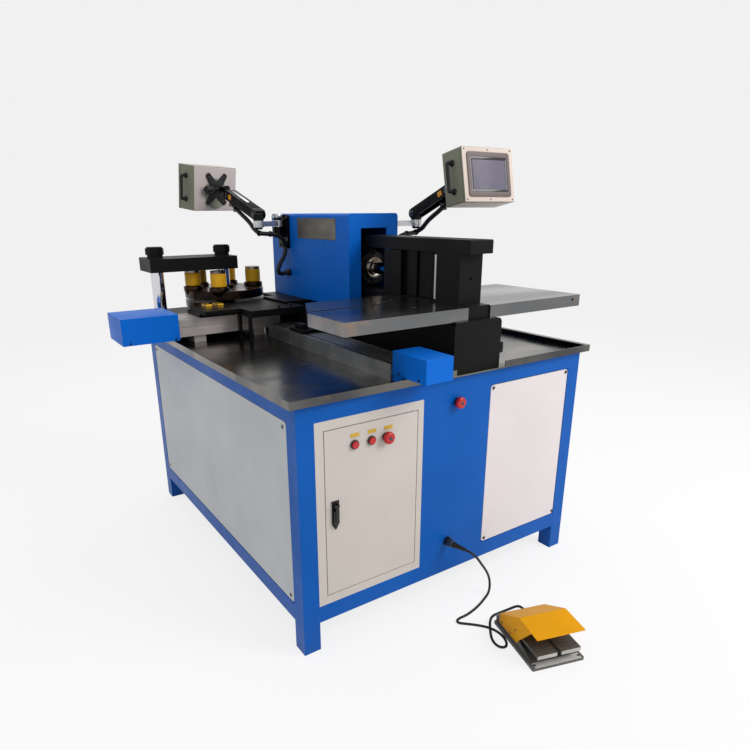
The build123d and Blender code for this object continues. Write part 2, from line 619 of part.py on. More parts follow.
# Hydraulic power pack on the lower cross bars: tank, motor and pump
pack_z = lower_rail_z + shelf_height
tank_left = shelf_left + 20
tank_right = shelf_right - 20
tank_front = cabinet_depth * 0.42
tank_back = tank_front + 560
tank_top = pack_z + 300
motor_x = tank_left + 130
motor_y = tank_front + 280
motor_radius = 80
filler = (tank_right - 100, tank_front + 140)
valve_size = 130
valve_left = tank_right - 170
valve_front = motor_y + 60
pack = rounded(block(tank_left, tank_right, tank_front, tank_back, pack_z, tank_top), Axis.Z, 10)
pack = pack + rod(motor_x, motor_y, tank_top, motor_radius - 18, 12) + rod(motor_x, motor_y, tank_top + 12, motor_radius, 190)
pack = pack + rod(filler[0], filler[1], tank_top, 28, 44)
pack = pack + block(valve_left, valve_left + valve_size, valve_front, valve_front + valve_size, tank_top, tank_top + 90)
nodes["power_pack"] = pack


def upright(x, y, z, aim):
    return Plane(origin=(x, y, z), x_dir=(aim[0], aim[1], 0), z_dir=(0, 0, 1))


def crosswise(radius, length):
    return Rot(90, 0, 0) * Cylinder(radius, length)


# Pendant arms. Each one is set out from its wall bracket, elbow, head pin and
# the way its pendant faces; the rest follows
arm_layout = {
    "right": (cover_right, 1, 700, (980, 695), (991, 466), (0, -1), 11),
    "left": (cover_left, -1, 1150, (425, 1095), (393, 1350), (-0.357, 0.934), 8),
}
bracket_reach = 36
head_reach = 30
cheek = 20
arm_points = {}
brackets = []
arm_top = arm_z + arm_height
boss_z = arm_z - 46
for side, (wall_x, sign, bracket_y, elbow, head, facing, tilt) in arm_layout.items():
    # wall plate with a boss and the arm's pin
    bx = wall_x + sign * bracket_reach
    bracket = rounded(block(wall_x, wall_x + sign * 12, bracket_y - 46, bracket_y + 46, arm_z - 93, cover_top - 4), Axis.X, 8)
    bracket = bracket + block(wall_x, bx, bracket_y - 18, bracket_y + 18, boss_z, arm_z - 8) + rod(bx, bracket_y, boss_z, 24, arm_z - slide_clearance - boss_z)
    bracket = bracket + rod(bx, bracket_y, arm_z - 8, arm_pin_radius, arm_height + 8 + slide_clearance) + rod(bx, bracket_y, arm_top + slide_clearance, 18, 10)
    brackets.append(bracket)
    # lower arm
    span = math.dist((bx, bracket_y), elbow)
    lower = upright(bx, bracket_y, arm_z, (elbow[0] - bx, elbow[1] - bracket_y)) * Pos(span / 2, 0, arm_height / 2) * Box(span, 34, arm_height - 6)
    for x, y in ((bx, bracket_y), elbow):
        lower = lower + rod(x, y, arm_z, arm_hub_radius, arm_height)
    for x, y in ((bx, bracket_y), elbow):
        lower = lower - rod(x, y, arm_z - 1, arm_pin_radius + pin_clearance, arm_height + 2)
    nodes[side + "_lower_arm"] = lower
    # elbow post: pin down through the lower arm, tongue up into the spring arm
    run = (head[0] - elbow[0], head[1] - elbow[1])
    reach_flat = math.hypot(*run) - head_reach
    rise = head_pivot_z - lift_pivot_z
    reach = math.hypot(reach_flat, rise)
    slope = math.degrees(math.atan2(rise, reach_flat))
    inside = spring_arm_width - 2 * spring_arm_sheet
    tongue = inside - 2 * slide_clearance
    lift = upright(elbow[0], elbow[1], lift_pivot_z, run)
    post = rod(elbow[0], elbow[1], arm_z - slide_clearance - 8, arm_pin_radius, arm_height + 12) + rod(elbow[0], elbow[1], arm_z - slide_clearance - 8, 16, 8)
    post = post + rod(elbow[0], elbow[1], arm_top + slide_clearance, tongue / 2, 5)
    stem = lift_pivot_z - arm_top - slide_clearance
    post = post + lift * Pos(0, 0, -stem / 2) * Box(24, tongue - 4, stem) + lift * crosswise(12, tongue)
    nodes[side + "_elbow_post"] = post - lift * crosswise(6 + pin_clearance, tongue + 2)
    # spring arm: channel open below, rounded ends, pivot pins and gas spring
    lean = lift * Rot(0, -slope, 0)
    half = spring_arm_height / 2
    arm = extrude(Plane.XZ.offset(-spring_arm_width / 2) * Pos(reach / 2, 0) * SlotCenterToCenter(reach, spring_arm_height), spring_arm_width)
    arm = arm - Pos(reach / 2, 0, -spring_arm_sheet) * Box(reach + spring_arm_height + 2, inside, spring_arm_height)
    for x in (head_reach, reach - head_reach):
        arm = arm + Pos(x, 0, 0) * Box(6, inside, 24)
    arm = arm + Pos(reach / 2, 0, 0) * Rot(0, 90, 0) * Cylinder(9, reach - 2 * head_reach)
    for x in (0, reach):
        arm = arm + Pos(x, 0, 0) * crosswise(6, spring_arm_width)
    nodes[side + "_spring_arm"] = lean * arm
    # head link: tongue in the arm and an upright pin for the yoke
    run_unit = (run[0] / math.hypot(*run), run[1] / math.hypot(*run))
    wrist = (head[0] - head_reach * run_unit[0], head[1] - head_reach * run_unit[1])
    top = upright(wrist[0], wrist[1], head_pivot_z, run)
    yoke_low = yoke_z - 12
    link = top * crosswise(9, tongue) + top * Pos(head_reach / 2, 0, 0) * Box(head_reach, 16, 14) + rod(head[0], head[1], head_pivot_z - 7, 13, yoke_low - slide_clearance - head_pivot_z + 7)
    link = link - top * crosswise(6 + pin_clearance, tongue + 2)
    link = link + rod(head[0], head[1], head_pivot_z, 7, yoke_z + 12 + slide_clearance - head_pivot_z) + rod(head[0], head[1], yoke_z + 12 + slide_clearance, 11, 4)
    nodes[side + "_head_link"] = link
    # yoke: hub on the pin, barrel with the tilt pin
    away = upright(head[0], head[1], yoke_z, facing)
    yoke = away * Cylinder(15, 24) + away * Pos(yoke_reach / 2, 0, 0) * Box(yoke_reach, 18, 18) + away * Pos(yoke_reach, 0, 0) * crosswise(10, 2 * cheek)
    yoke = yoke - away * Cylinder(7 + pin_clearance, 26) + away * Pos(yoke_reach, 0, 0) * crosswise(5, 2 * cheek + 24)
    nodes[side + "_yoke"] = yoke
    # pendant, hung from the tilt pin: local X points the way the screen faces
    tilt_x = head[0] + facing[0] * yoke_reach
    tilt_y = head[1] + facing[1] * yoke_reach
    hang = upright(tilt_x, tilt_y, yoke_z, facing) * Rot(0, -tilt, 0)
    w, h, d = pendant_width, pendant_height, pendant_depth
    back = tilt_offset
    case = Pos(back + d / 2, 0, 0) * Box(d, w, h)
    case = fillet(case.edges().filter_by(Axis.X), 6)
    case = case - Pos(back + d / 2, 0, 0) * Box(d - 2 * pendant_sheet, w - 2 * pendant_sheet, h - 2 * pendant_sheet)
    bezel = Pos(back + d + 2, 0, 0) * Box(4, w - 44, h - 38)
    case = case + fillet(bezel.edges().filter_by(Axis.X), 10)
    nodes[side + "_pendant_case"] = hang * case
    star = Pos(back - 3, 0, 0) * Box(6, 2 * cheek + 20, 40)
    for angle in (50, -50):
        star = star + Pos(back - 2.5, 0, 0) * Rot(angle, 0, 0) * Box(5, 172, 26)
    for y in (-1, 1):
        star = star + Pos(back / 2, y * (cheek + 5.3), 0) * Box(back, 10, 20) + Pos(0, y * (cheek + 5.3), 0) * crosswise(10, 10)
    star = star - crosswise(5 + pin_clearance, 100)
    grip_y = -w / 2 if facing[1] < 0 else w / 2
    outward = -1 if grip_y < 0 else 1
    grip = Pos(back + d / 2, grip_y + outward * 22, 0) * Box(10, 8, 112)
    for z in (-50, 50):
        grip = grip + Pos(back + d / 2, grip_y + outward * 11, z) * Box(12, 22, 12)
    nodes[side + "_pendant_fittings"] = hang * Compound([star, grip])
    arm_points[side] = {"bracket": (bx, bracket_y), "elbow": elbow, "wrist": wrist, "head": head, "tilt": (tilt_x, tilt_y), "run": run_unit, "facing": facing}
nodes["arm_brackets"] = Compound(brackets)

# Foot pedal: tray base with cheeks, folded guard and two treadles on pins
pedal = Pos(pedal_x, pedal_y, 0) * Rot(0, 0, pedal_turn)
half_width = pedal_width / 2
half_length = pedal_length / 2
cheek_x = half_width - 9
cheek_top = 48
hinge_y = 22
hinge_z = 39
treadle_front = -half_length + 5
base = rounded(block(-half_width, half_width, -half_length, half_length, 0, pedal_plate), Axis.Z, 5)
cheek_shape = [(-half_length + 30, pedal_plate), (-17, 34), (hinge_y - 10, cheek_top), (hinge_y + 10, cheek_top), (60, 34), (half_length, 34), (half_length, pedal_plate)]
for x in (-cheek_x, cheek_x - pedal_wall, -pedal_wall):
    wall = prism(cheek_shape, pedal_wall if abs(x) > pedal_wall else 2 * pedal_wall, Plane(origin=(x, 0, 0), x_dir=(0, 1, 0), z_dir=(1, 0, 0)))
    base = base + wall
base = base + block(-cheek_x, cheek_x, 62, half_length, pedal_plate, 34)
base = base - rod(-cheek_x - 1, hinge_y, hinge_z, 4 + pin_clearance, 2 * cheek_x + 2, "X")
gland_x = 30
gland_z = 20
gland_length = 12
base = base + rod(gland_x, half_length, gland_z, 9, 8, "Y") + rod(gland_x, half_length + 8, gland_z, 7, gland_length - 8, "Y")
nodes["pedal_base"] = pedal * base
ridge = (-15, 120)
roof = [(100, 56), ridge, (-half_length + 3, 115), (-half_length + 3, 115 - guard_sheet), (ridge[0], ridge[1] - guard_sheet), (100 - 1, 56 - guard_sheet)]
guard = prism(roof, 2 * (cheek_x + guard_sheet), Plane(origin=(-cheek_x - guard_sheet, 0, 0), x_dir=(0, 1, 0), z_dir=(1, 0, 0)))
side_shape = [(100, 20), (99, 56 - guard_sheet), (ridge[0], ridge[1] - guard_sheet), (-88, 116 - guard_sheet), (-20, 34), (-14, 20)]
for x in (-cheek_x - guard_sheet, cheek_x):
    guard = guard + prism(side_shape, guard_sheet, Plane(origin=(x, 0, 0), x_dir=(0, 1, 0), z_dir=(1, 0, 0)))
nodes["pedal_guard"] = pedal * guard
for name, x0, x1 in (("treadle_left", -cheek_x + pedal_wall + 1, -pedal_wall - 1), ("treadle_right", pedal_wall + 1, cheek_x - pedal_wall - 1)):
    treadle = block(x0, x1, treadle_front, hinge_y, 42, 51)
    for i in range(5):
        treadle = treadle - block(x0 + 6, x1 - 6, treadle_front + 16 + 14 * i, treadle_front + 20 + 14 * i, 49.5, 52)
    treadle = treadle + block(x0, x1, treadle_front, treadle_front + 4, 36, 51) + rod(x0, hinge_y, hinge_z, 9, x1 - x0, "X")
    treadle = treadle + rod(x0 - pedal_wall, hinge_y, hinge_z, 4, x1 - x0 + 2 * pedal_wall, "X")
    nodes[name] = pedal * treadle

# Pedal cable: straight runs joined by tangent arcs, plug to floor to gland
behind_pedal = [(-86, 150, 9), (-52, 161, 6), (-16, 165, 9), (gland_x - 12, half_length + gland_length + 28, gland_z - 3), (gland_x, half_length + gland_length + 16, gland_z), (gland_x, half_length + gland_length, gland_z)]
cable_route = [
    cable_exit, tuple(Vector(*cable_exit) + tail_vector.normalized() * 24), (647, -112, 195), (670, -108, 164), (697, -101, 131), (723, -93, 96), (742, -86, 63), (748, -86, 31), (734, -96, 9),
    (698, -110, 5), (660, -125, 5), (618, -137, 5), (574, -144, 5), (534, -142, 5), (519, -157, 5), (545, -181, 5), (572, -208, 5),
    (594, -238, 5), (603, -272, 5), (598, -304, 5), (585, -328, 5), (568, -339, 5), (552, -330, 5), (549, -308, 5), (560, -280, 6), (584, -250, 16), (612, -222, 15)]
cable_route = cable_route + [tuple((pedal * Pos(*point)).position) for point in behind_pedal]


def tube_path(points):
    points = [Vector(*p) for p in points]
    runs = [points[i + 1] - points[i] for i in range(len(points) - 1)]
    edges = []
    radii = []
    at = points[0]
    for i in range(1, len(points) - 1):
        d1 = runs[i - 1].normalized()
        d2 = runs[i].normalized()
        turn = math.acos(max(-1, min(1, d1.dot(d2))))
        cut = 0.45 * min(runs[i - 1].length, runs[i].length)
        radius = cut / math.tan(turn / 2)
        radii.append(radius)
        first = points[i] - d1 * cut
        last = points[i] + d2 * cut
        inward = (d2 - d1).normalized()
        middle = points[i] + inward * (radius / math.cos(turn / 2) - radius)
        edges.append(Line(at, first))
        edges.append(ThreePointArc(first, middle, last))
        at = last
    edges.append(Line(at, points[-1]))
    return Wire([e for e in edges]), radii


path, radii = tube_path(cable_route)
section = Plane(origin=path @ 0, z_dir=path % 0) * Circle(cable_diameter / 2)
cable = sweep(section, path=path)
nodes["pedal_cable"] = cable
print("cable length", round(path.length, 1), "radii", [round(r) for r in radii])
print("cable volume ratio", round(cable.volume / (math.pi * cable_diameter ** 2 / 4 * path.length), 4))

# Origin at the centre of the footprint, on the ground
solid_box = Compound([Compound(shape.solids()) for name, shape in nodes.items() if name != "pedal_cable"]).bounding_box()
shift = Vector(-(solid_box.min.X + solid_box.max.X) / 2, -(solid_box.min.Y + solid_box.max.Y) / 2, -solid_box.min.Z)
print("shift", shift)

os.makedirs("parts", exist_ok=True)
for name, shape in nodes.items():
    solids = shape.solids()
    placed = [Pos(shift.X, shift.Y, shift.Z) * solid for solid in solids]
    export_step(placed[0] if len(placed) == 1 else Compound(placed), "parts/" + name + ".step")
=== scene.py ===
import bpy
import bmesh
import math
from mathutils import Matrix, Vector


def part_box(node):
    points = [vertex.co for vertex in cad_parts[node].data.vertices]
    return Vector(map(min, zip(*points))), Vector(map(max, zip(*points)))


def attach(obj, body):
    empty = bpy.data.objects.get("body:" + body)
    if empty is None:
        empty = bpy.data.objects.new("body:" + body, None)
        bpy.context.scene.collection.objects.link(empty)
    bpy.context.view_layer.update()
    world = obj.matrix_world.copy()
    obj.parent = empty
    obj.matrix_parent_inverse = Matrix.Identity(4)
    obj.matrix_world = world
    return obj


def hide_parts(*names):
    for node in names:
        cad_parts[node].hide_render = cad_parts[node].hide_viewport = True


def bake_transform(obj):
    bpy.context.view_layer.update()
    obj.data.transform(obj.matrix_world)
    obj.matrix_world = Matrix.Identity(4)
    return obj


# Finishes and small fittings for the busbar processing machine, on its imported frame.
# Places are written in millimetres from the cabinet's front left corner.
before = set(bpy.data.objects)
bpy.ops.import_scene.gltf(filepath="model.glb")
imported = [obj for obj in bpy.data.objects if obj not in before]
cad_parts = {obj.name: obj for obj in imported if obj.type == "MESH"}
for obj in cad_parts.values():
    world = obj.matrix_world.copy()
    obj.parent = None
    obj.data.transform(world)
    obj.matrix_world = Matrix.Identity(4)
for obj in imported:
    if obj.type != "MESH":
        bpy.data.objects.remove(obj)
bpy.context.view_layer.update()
scene = bpy.context.scene

traySideLip = 28
trayEndLip = 21
trayLow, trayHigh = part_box("tray")
cornerX = trayLow.x + traySideLip / 1000
cornerY = trayLow.y + trayEndLip / 1000


def at(x, y, z):
    return Vector((cornerX + x / 1000, cornerY + y / 1000, z / 1000))


def mm(value):
    return value / 1000


# Camera
cameraSetup = {
    "place": (-732.9, -1433.5, 1371.2),
    "turn": 33.36,        # degrees clockwise from straight ahead
    "down": 18.83,
    "roll": 0.456,
    "lens": 28.816,
    "shiftX": 0.0236,
    "shiftY": 0.0548,
}


def makeCamera(setup):
    turn = math.radians(setup["turn"])
    down = math.radians(setup["down"])
    roll = math.radians(setup["roll"])
    ahead = Vector((math.sin(turn) * math.cos(down), math.cos(turn) * math.cos(down), -math.sin(down)))
    right = Vector((math.cos(turn), -math.sin(turn), 0))
    below = ahead.cross(right)
    sideways = math.cos(roll) * right + math.sin(roll) * below
    upwards = math.sin(roll) * right - math.cos(roll) * below
    data = bpy.data.cameras.new("photoCamera")
    data.lens = setup["lens"]
    data.sensor_width = 36
    data.shift_x = setup["shiftX"]
    data.shift_y = setup["shiftY"]
    data.clip_start = 0.05
    data.clip_end = 100
    camera = bpy.data.objects.new("photoCamera", data)
    turned = Matrix((sideways, upwards, -ahead)).transposed().to_4x4()
    camera.matrix_world = Matrix.Translation(at(*setup["place"])) @ turned
    scene.collection.objects.link(camera)
    scene.camera = camera


makeCamera(cameraSetup)
print("camera set")


# Shader groups shared by several finishes
class Wiring:         # a node tree with short calls for the usual nodes
    def add(self, kind, **settings):
        node = self.tree.nodes.new(kind)
        for key, value in settings.items():
            setattr(node, key, value)
        return node

    def link(self, value, socket):      # value: a number, a colour or another node's output
        if isinstance(value, (int, float, tuple)):
            socket.default_value = value
        else:
            self.tree.links.new(value, socket)

    def feed(self, node, **values):     # an underscore stands for a space in the socket's name
        for key, value in values.items():
            self.link(value, node.inputs[key.replace("_", " ")])
        return node.outputs

    def join(self, a, b, kind, **settings):
        node = self.add(kind, **settings)
        self.link(a, node.inputs[0])
        self.link(b, node.inputs[1])
        return node.outputs[0]

    def math(self, operation, a, b, clamp=False):
        return self.join(a, b, "ShaderNodeMath", operation=operation, use_clamp=clamp)

    def stretch(self, vector, factors):
        return self.join(vector, factors, "ShaderNodeVectorMath", operation="MULTIPLY")

    def noise(self, vector, scale, detail, rough):
        node = self.add("ShaderNodeTexNoise")
        return self.feed(node, Vector=vector, Scale=scale, Detail=detail, Roughness=rough)["Fac"]

    def span(self, value, low, high, toLow=0.0, toHigh=1.0):
        node = self.add("ShaderNodeMapRange")
        self.feed(node, Value=value, From_Min=low, From_Max=high, To_Min=toLow, To_Max=toHigh)
        return node.outputs["Result"]

    def mix(self, mask, a, b):
        return self.feed(self.add("ShaderNodeMix", data_type="RGBA"), Factor=mask, A=a, B=b)["Result"]

    def heightOf(self, vector):
        node = self.add("ShaderNodeSeparateXYZ")
        self.link(vector, node.inputs[0])
        return node.outputs["Z"]


class Group(Wiring):  # a shader group with named sockets, made from its starting values
    def __init__(self, name, outputs, **inputs):
        self.tree = bpy.data.node_groups.new(name, "ShaderNodeTree")
        kinds = {4: "NodeSocketColor", 3: "NodeSocketVector", 1: "NodeSocketFloat"}
        self.tree.interface.new_socket("Vector", in_out="INPUT", socket_type=kinds[3])
        for key, start in inputs.items():
            kind = kinds[len(start) if isinstance(start, tuple) else 1]
            socket = self.tree.interface.new_socket(key.replace("_", " "), in_out="INPUT", socket_type=kind)
            socket.default_value = start
        for label in outputs:
            kind = kinds[4 if label == "Color" else 1]
            self.tree.interface.new_socket(label, in_out="OUTPUT", socket_type=kind)
        self.given = self.add("NodeGroupInput").outputs
        self.vector = self.given["Vector"]
        self.out = self.add("NodeGroupOutput")

    def giveMask(self, a, b):           # product of two masks, scaled by the group's Amount
        both = self.math("MULTIPLY", a, b)
        self.feed(self.out, Mask=self.math("MULTIPLY", both, self.given["Amount"], True))
        return self.tree


def makeMottle():     # two tones in soft patches
    g = Group("mottle", ("Color", "Mask"), Scale=6.0, Tone_A=(1, 1, 1, 1), Tone_B=(0, 0, 0, 1), Balance=0.5,
              Softness=0.15)
    cloud = g.noise(g.vector, g.given["Scale"], 6.0, 0.6)
    low = g.math("SUBTRACT", g.given["Balance"], g.given["Softness"])
    high = g.math("ADD", g.given["Balance"], g.given["Softness"])
    mask = g.span(cloud, low, high)
    g.feed(g.out, Color=g.mix(mask, g.given["Tone A"], g.given["Tone B"]), Mask=mask)
    return g.tree


def makePaintSkin():  # fine orange peel of sprayed or powder paint
    g = Group("paintSkin", ("Height",), Fine=420.0, Coarse=60.0)
    fine = g.math("MULTIPLY", g.noise(g.vector, g.given["Fine"], 2.0, 0.5), 0.6)
    coarse = g.math("MULTIPLY", g.noise(g.vector, g.given["Coarse"], 1.0, 0.5), 0.4)
    g.feed(g.out, Height=g.math("ADD", fine, coarse))
    return g.tree


def makeGrain():      # long streaks left by grinding or brushing; on the polished tray their colour bands are also painted reflections
    g = Group("grain", ("Height", "Streak"), Stretch=(10.0, 400.0, 400.0), Bands=(2.0, 9.0, 2.0))
    fine = g.noise(g.stretch(g.vector, g.given["Stretch"]), 1.0, 5.0, 0.65)
    wide = g.noise(g.stretch(g.vector, g.given["Bands"]), 1.0, 3.0, 0.5)
    g.feed(g.out, Height=fine, Streak=g.span(wide, 0.36, 0.66))
    return g.tree


def makeScuffs():     # sparse fine scratches
    g = Group("scuffs", ("Mask",), Scale=14.0, Amount=0.3)
    bent = g.feed(g.add("ShaderNodeMapping"), Vector=g.vector, Rotation=(0.5, 0.35, 0.75))["Vector"]
    lines = g.noise(g.stretch(bent, (0.6, 14.0, 9.0)), g.given["Scale"], 3.0, 0.7)
    return g.giveMask(g.span(lines, 0.66, 0.72), g.span(g.noise(g.vector, 5.0, 2.0, 0.5), 0.48, 0.62))


def makeLowDirt():    # dirt that fades with height above the floor
    g = Group("lowDirt", ("Mask",), Height=0.15, Amount=0.6)
    near = g.span(g.heightOf(g.vector), 0.0, g.given["Height"], 1.0, 0.0)
    return g.giveMask(near, g.span(g.noise(g.vector, 35.0, 5.0, 0.65), 0.35, 0.65))


def makeTopDust():    # thin dust on faces that look up
    g = Group("topDust", ("Mask",), Amount=0.2)
    upward = g.span(g.heightOf(g.add("ShaderNodeNewGeometry").outputs["Normal"]), 0.55, 0.95)
    return g.giveMask(upward, g.span(g.noise(g.vector, 9.0, 7.0, 0.7), 0.34, 0.7))


groups = {"mottle": makeMottle(), "paintSkin": makePaintSkin(), "grain": makeGrain(),
          "scuffs": makeScuffs(), "lowDirt": makeLowDirt(), "topDust": makeTopDust()}


class Finish(Wiring):  # one material with its own shader
    def __init__(self, name, rough=0.4, metal=0.0, coat=0.0, coatRough=0.1, specular=0.4):
        self.material = bpy.data.materials.new(name)
        self.material.use_nodes = True
        self.tree = self.material.node_tree
        self.tree.nodes.clear()
        self.shader = self.add("ShaderNodeBsdfPrincipled")
        self.feed(self.shader, Roughness=rough, Metallic=metal, Coat_Weight=coat, Coat_Roughness=coatRough,
                  Specular_IOR_Level=specular, IOR=1.45)
        self.feed(self.add("ShaderNodeOutputMaterial"), Surface=self.shader.outputs[0])
        self.where = self.add("ShaderNodeTexCoord").outputs["Object"]

    def group(self, name, **values):
        node = self.add("ShaderNodeGroup", node_tree=groups[name])
        return self.feed(node, Vector=self.where, **values)

    def surface(self, colour, worn, rough, height, bump, distance):
        node = self.add("ShaderNodeBump")
        normal = self.feed(node, Strength=bump, Distance=distance, Height=height)["Normal"]
        self.feed(self.shader, Base_Color=colour, Roughness=self.span(worn, 0.0, 1.0, *rough), Normal=normal)
        return self.material


def tone(red, green, blue):   # colour as seen on a screen, 0 to 255
    channels = []
    for value in (red, green, blue):
        value = value / 255
        channels.append(value / 12.92 if value <= 0.04045 else ((value + 0.055) / 1.055) ** 2.4)
    return (*channels, 1.0)


def shade(colour, factor):
    return (colour[0] * factor, colour[1] * factor, colour[2] * factor, 1.0)


# Painted sheet and castings
paintWords = ("colour", "patch", "rough", "dust", "scuff", "peel", "coat", "shine")
paints = {
    "frameBlue": ((4, 92, 182), 0.9, (0.34, 0.46), 0.03, 0.12, 0.12, 0.0, 0.16),
    "coverBlue": ((2, 110, 218), 0.9, (0.34, 0.46), 0.02, 0.12, 0.12, 0.0, 0.14),
    "cream": ((212, 203, 194), 0.94, (0.42, 0.55), 0.0, 0.1, 0.25, 0.05, 0.28),
    # panelGrey: the side panels share the front panel's white; this darker grey is partly painted shade for
    # the sides
    "panelGrey": ((206, 208, 210), 0.94, (0.4, 0.55), 0.0, 0.08, 0.25, 0.05, 0.28),
    "panelWhite": ((232, 222, 222), 0.95, (0.38, 0.5), 0.0, 0.06, 0.25, 0.05, 0.28),
    "pressBlack": ((12, 12, 13), 0.72, (0.38, 0.54), 0.02, 0.1, 0.3, 0.0, 0.14),
    "armBlack": ((11, 11, 12), 0.75, (0.34, 0.48), 0.01, 0.1, 0.1, 0.0, 0.16),
    "guardOrange": ((255, 176, 0), 0.9, (0.38, 0.5), 0.0, 0.08, 0.2, 0.0, 0.14),
    "pedalGrey": ((112, 110, 106), 0.8, (0.36, 0.52), 0.06, 0.25, 0.35, 0.0, 0.28),
    # pendant case: one cream paint split by facing into painted shade (grey-green sides, back and top) and
    # painted light (front)
    "boxSide": ((136, 138, 120), 0.92, (0.42, 0.55), 0.0, 0.12, 0.25, 0.0, 0.28),
    "boxBack": ((206, 192, 187), 0.95, (0.42, 0.55), 0.0, 0.08, 0.25, 0.0, 0.28),
    "boxFront": ((226, 208, 196), 0.95, (0.4, 0.52), 0.0, 0.06, 0.25, 0.0, 0.28),
}


def makePaint(name, row):
    look = dict(zip(paintWords, row))
    finish = Finish(name, coat=look["coat"], coatRough=0.22, specular=look["shine"])
    base = tone(*look["colour"])
    mottle = finish.group("mottle", Scale=3.5, Tone_A=base, Tone_B=shade(base, look["patch"]))
    bared = tuple(min(1.0, c * 1.6 + 0.05) for c in base[:3]) + (1.0,)
    colour = finish.mix(finish.group("scuffs", Amount=look["scuff"])["Mask"], mottle["Color"], bared)
    dirt = finish.group("lowDirt", Height=0.16, Amount=0.16)["Mask"]
    dust = finish.group("topDust", Amount=look["dust"])["Mask"]
    colour = finish.mix(dust, finish.mix(dirt, colour, tone(92, 84, 74)), tone(170, 165, 158))
    skin = finish.group("paintSkin")["Height"]
    return finish.surface(colour, mottle["Mask"], look["rough"], skin, look["peel"], 0.0006)


# Bare metals
metalWords = ("colour", "second", "tint", "rough", "stretch", "bands", "bump", "metal")
metals = {
    # trayPolish: the dark streak bands and the yellow-brown tint are painted reflections of the parts above
    # the polished tray
    "trayPolish": ((122, 119, 112), (72, 72, 76), (176, 140, 70),
        (0.16, 0.34), (26, 300, 60), (2.6, 7.5, 2.0), 0.08, 1.0),
    "tableSteel": ((128, 128, 128), (100, 102, 104), (168, 138, 116),
        (0.16, 0.32), (12, 520, 520), (1.4, 8.0, 3.0), 0.12, 1.0),
    "chrome": ((224, 224, 228), (190, 191, 196), (180, 176, 168),
        (0.06, 0.16), (220, 220, 6), (14, 14, 1.5), 0.04, 1.0),
    # dieSteel: pale, rough and little metallic so the polished die reads white: a painted reflection of the
    # bright surroundings
    "dieSteel": ((222, 222, 224), (200, 200, 204), (190, 186, 178),
        (0.42, 0.55), (220, 220, 6), (14, 14, 1.5), 0.05, 0.35),
    "railAluminium": ((208, 198, 194), (158, 154, 152), (176, 166, 160),
        (0.36, 0.5), (8, 420, 420), (6.5, 1.5, 3.0), 0.1, 0.3),
    "railDark": ((150, 152, 150), (96, 98, 97), (120, 112, 100),
        (0.34, 0.48), (420, 8, 420), (2.0, 6.5, 3.0), 0.1, 0.75),
    "brass": ((226, 178, 50), (170, 126, 32), (120, 84, 28),
        (0.24, 0.42), (40, 300, 40), (22, 22, 22), 0.2, 0.8),
    "oiledSteel": ((50, 38, 30), (24, 19, 17), (112, 66, 26),
        (0.22, 0.46), (160, 160, 160), (16, 16, 16), 0.2, 0.9),
    "punchSteel": ((134, 126, 118), (84, 70, 58), (140, 96, 50),
        (0.18, 0.34), (160, 160, 30), (26, 26, 20), 0.1, 1.0),
    "alloy": ((206, 208, 212), (168, 170, 174), (150, 150, 154),
        (0.24, 0.4), (60, 60, 200), (9, 9, 9), 0.12, 0.8),
    "screwSteel": ((96, 96, 98), (56, 56, 60), (80, 66, 54),
        (0.28, 0.46), (300, 300, 300), (50, 50, 50), 0.1, 1.0),
    "namePlate": ((122, 117, 111), (98, 95, 90), (130, 120, 104),
        (0.4, 0.54), (300, 9, 300), (12, 6, 18), 0.1, 0.7),
}


def makeMetal(name, row):
    look = dict(zip(metalWords, row))
    base = tone(*look["colour"])
    finish = Finish(name, metal=look["metal"])
    grain = finish.group("grain", Stretch=look["stretch"], Bands=look["bands"])
    stainAndReflection = finish.group("mottle", Scale=7.0, Balance=0.66, Softness=0.08)["Mask"]
    scuffs = finish.group("scuffs", Scale=20.0, Amount=0.35)["Mask"]
    colour = finish.mix(grain["Streak"], base, tone(*look["second"]))
    # tint patches: real stains on most metals, and on the tray a painted reflection of the yellow-brown parts
    # above it
    colour = finish.mix(finish.math("MULTIPLY", stainAndReflection, 0.5), colour, tone(*look["tint"]))
    colour = finish.mix(scuffs, colour, shade(base, 1.25))
    streaks = finish.math("MULTIPLY", grain["Streak"], 0.6)
    worn = finish.math("ADD", streaks, finish.math("MULTIPLY", stainAndReflection, 0.4))
    return finish.surface(colour, worn, look["rough"], grain["Height"], look["bump"], 0.0004)


# Plastics and rubber
plasticWords = ("colour", "rough", "coat", "peel")
plastics = {
    "redGloss": ((202, 10, 22), 0.22, 0.4, 0.03),
    "blackPlastic": ((16, 16, 17), 0.48, 0.0, 0.3),
    "blackGloss": ((14, 14, 15), 0.18, 0.3, 0.04),
    "cableRubber": ((20, 21, 24), 0.46, 0.0, 0.15),
    "yellowSleeve": ((250, 186, 4), 0.38, 0.05, 0.2),
    "labelYellow": ((222, 178, 60), 0.45, 0.1, 0.05),
    "orangeBand": ((240, 160, 20), 0.34, 0.2, 0.05),
    "sealRubber": ((34, 34, 34), 0.62, 0.0, 0.2),
    "bezelGrey": ((116, 100, 100), 0.42, 0.0, 0.12),
    "treadleGrey": ((86, 82, 76), 0.5, 0.0, 0.6),
    "paleSteel": ((206, 202, 196), 0.4, 0.0, 0.2),
}


def makePlastic(name, row):
    look = dict(zip(plasticWords, row))
    base = tone(*look["colour"])
    rough = look["rough"]
    finish = Finish(name, rough=rough, coat=look["coat"], coatRough=0.12)
    mottle = finish.group("mottle", Scale=18.0, Tone_A=base, Tone_B=shade(base, 0.80), Softness=0.25)
    scuffs = finish.group("scuffs", Scale=30.0, Amount=0.18)["Mask"]
    colour = finish.mix(scuffs, mottle["Color"], shade(base, 1.7))
    skin = finish.group("paintSkin", Fine=900.0, Coarse=200.0)["Height"]
    return finish.surface(colour, mottle["Mask"], (rough, rough + 0.12), skin, look["peel"], 0.0004)


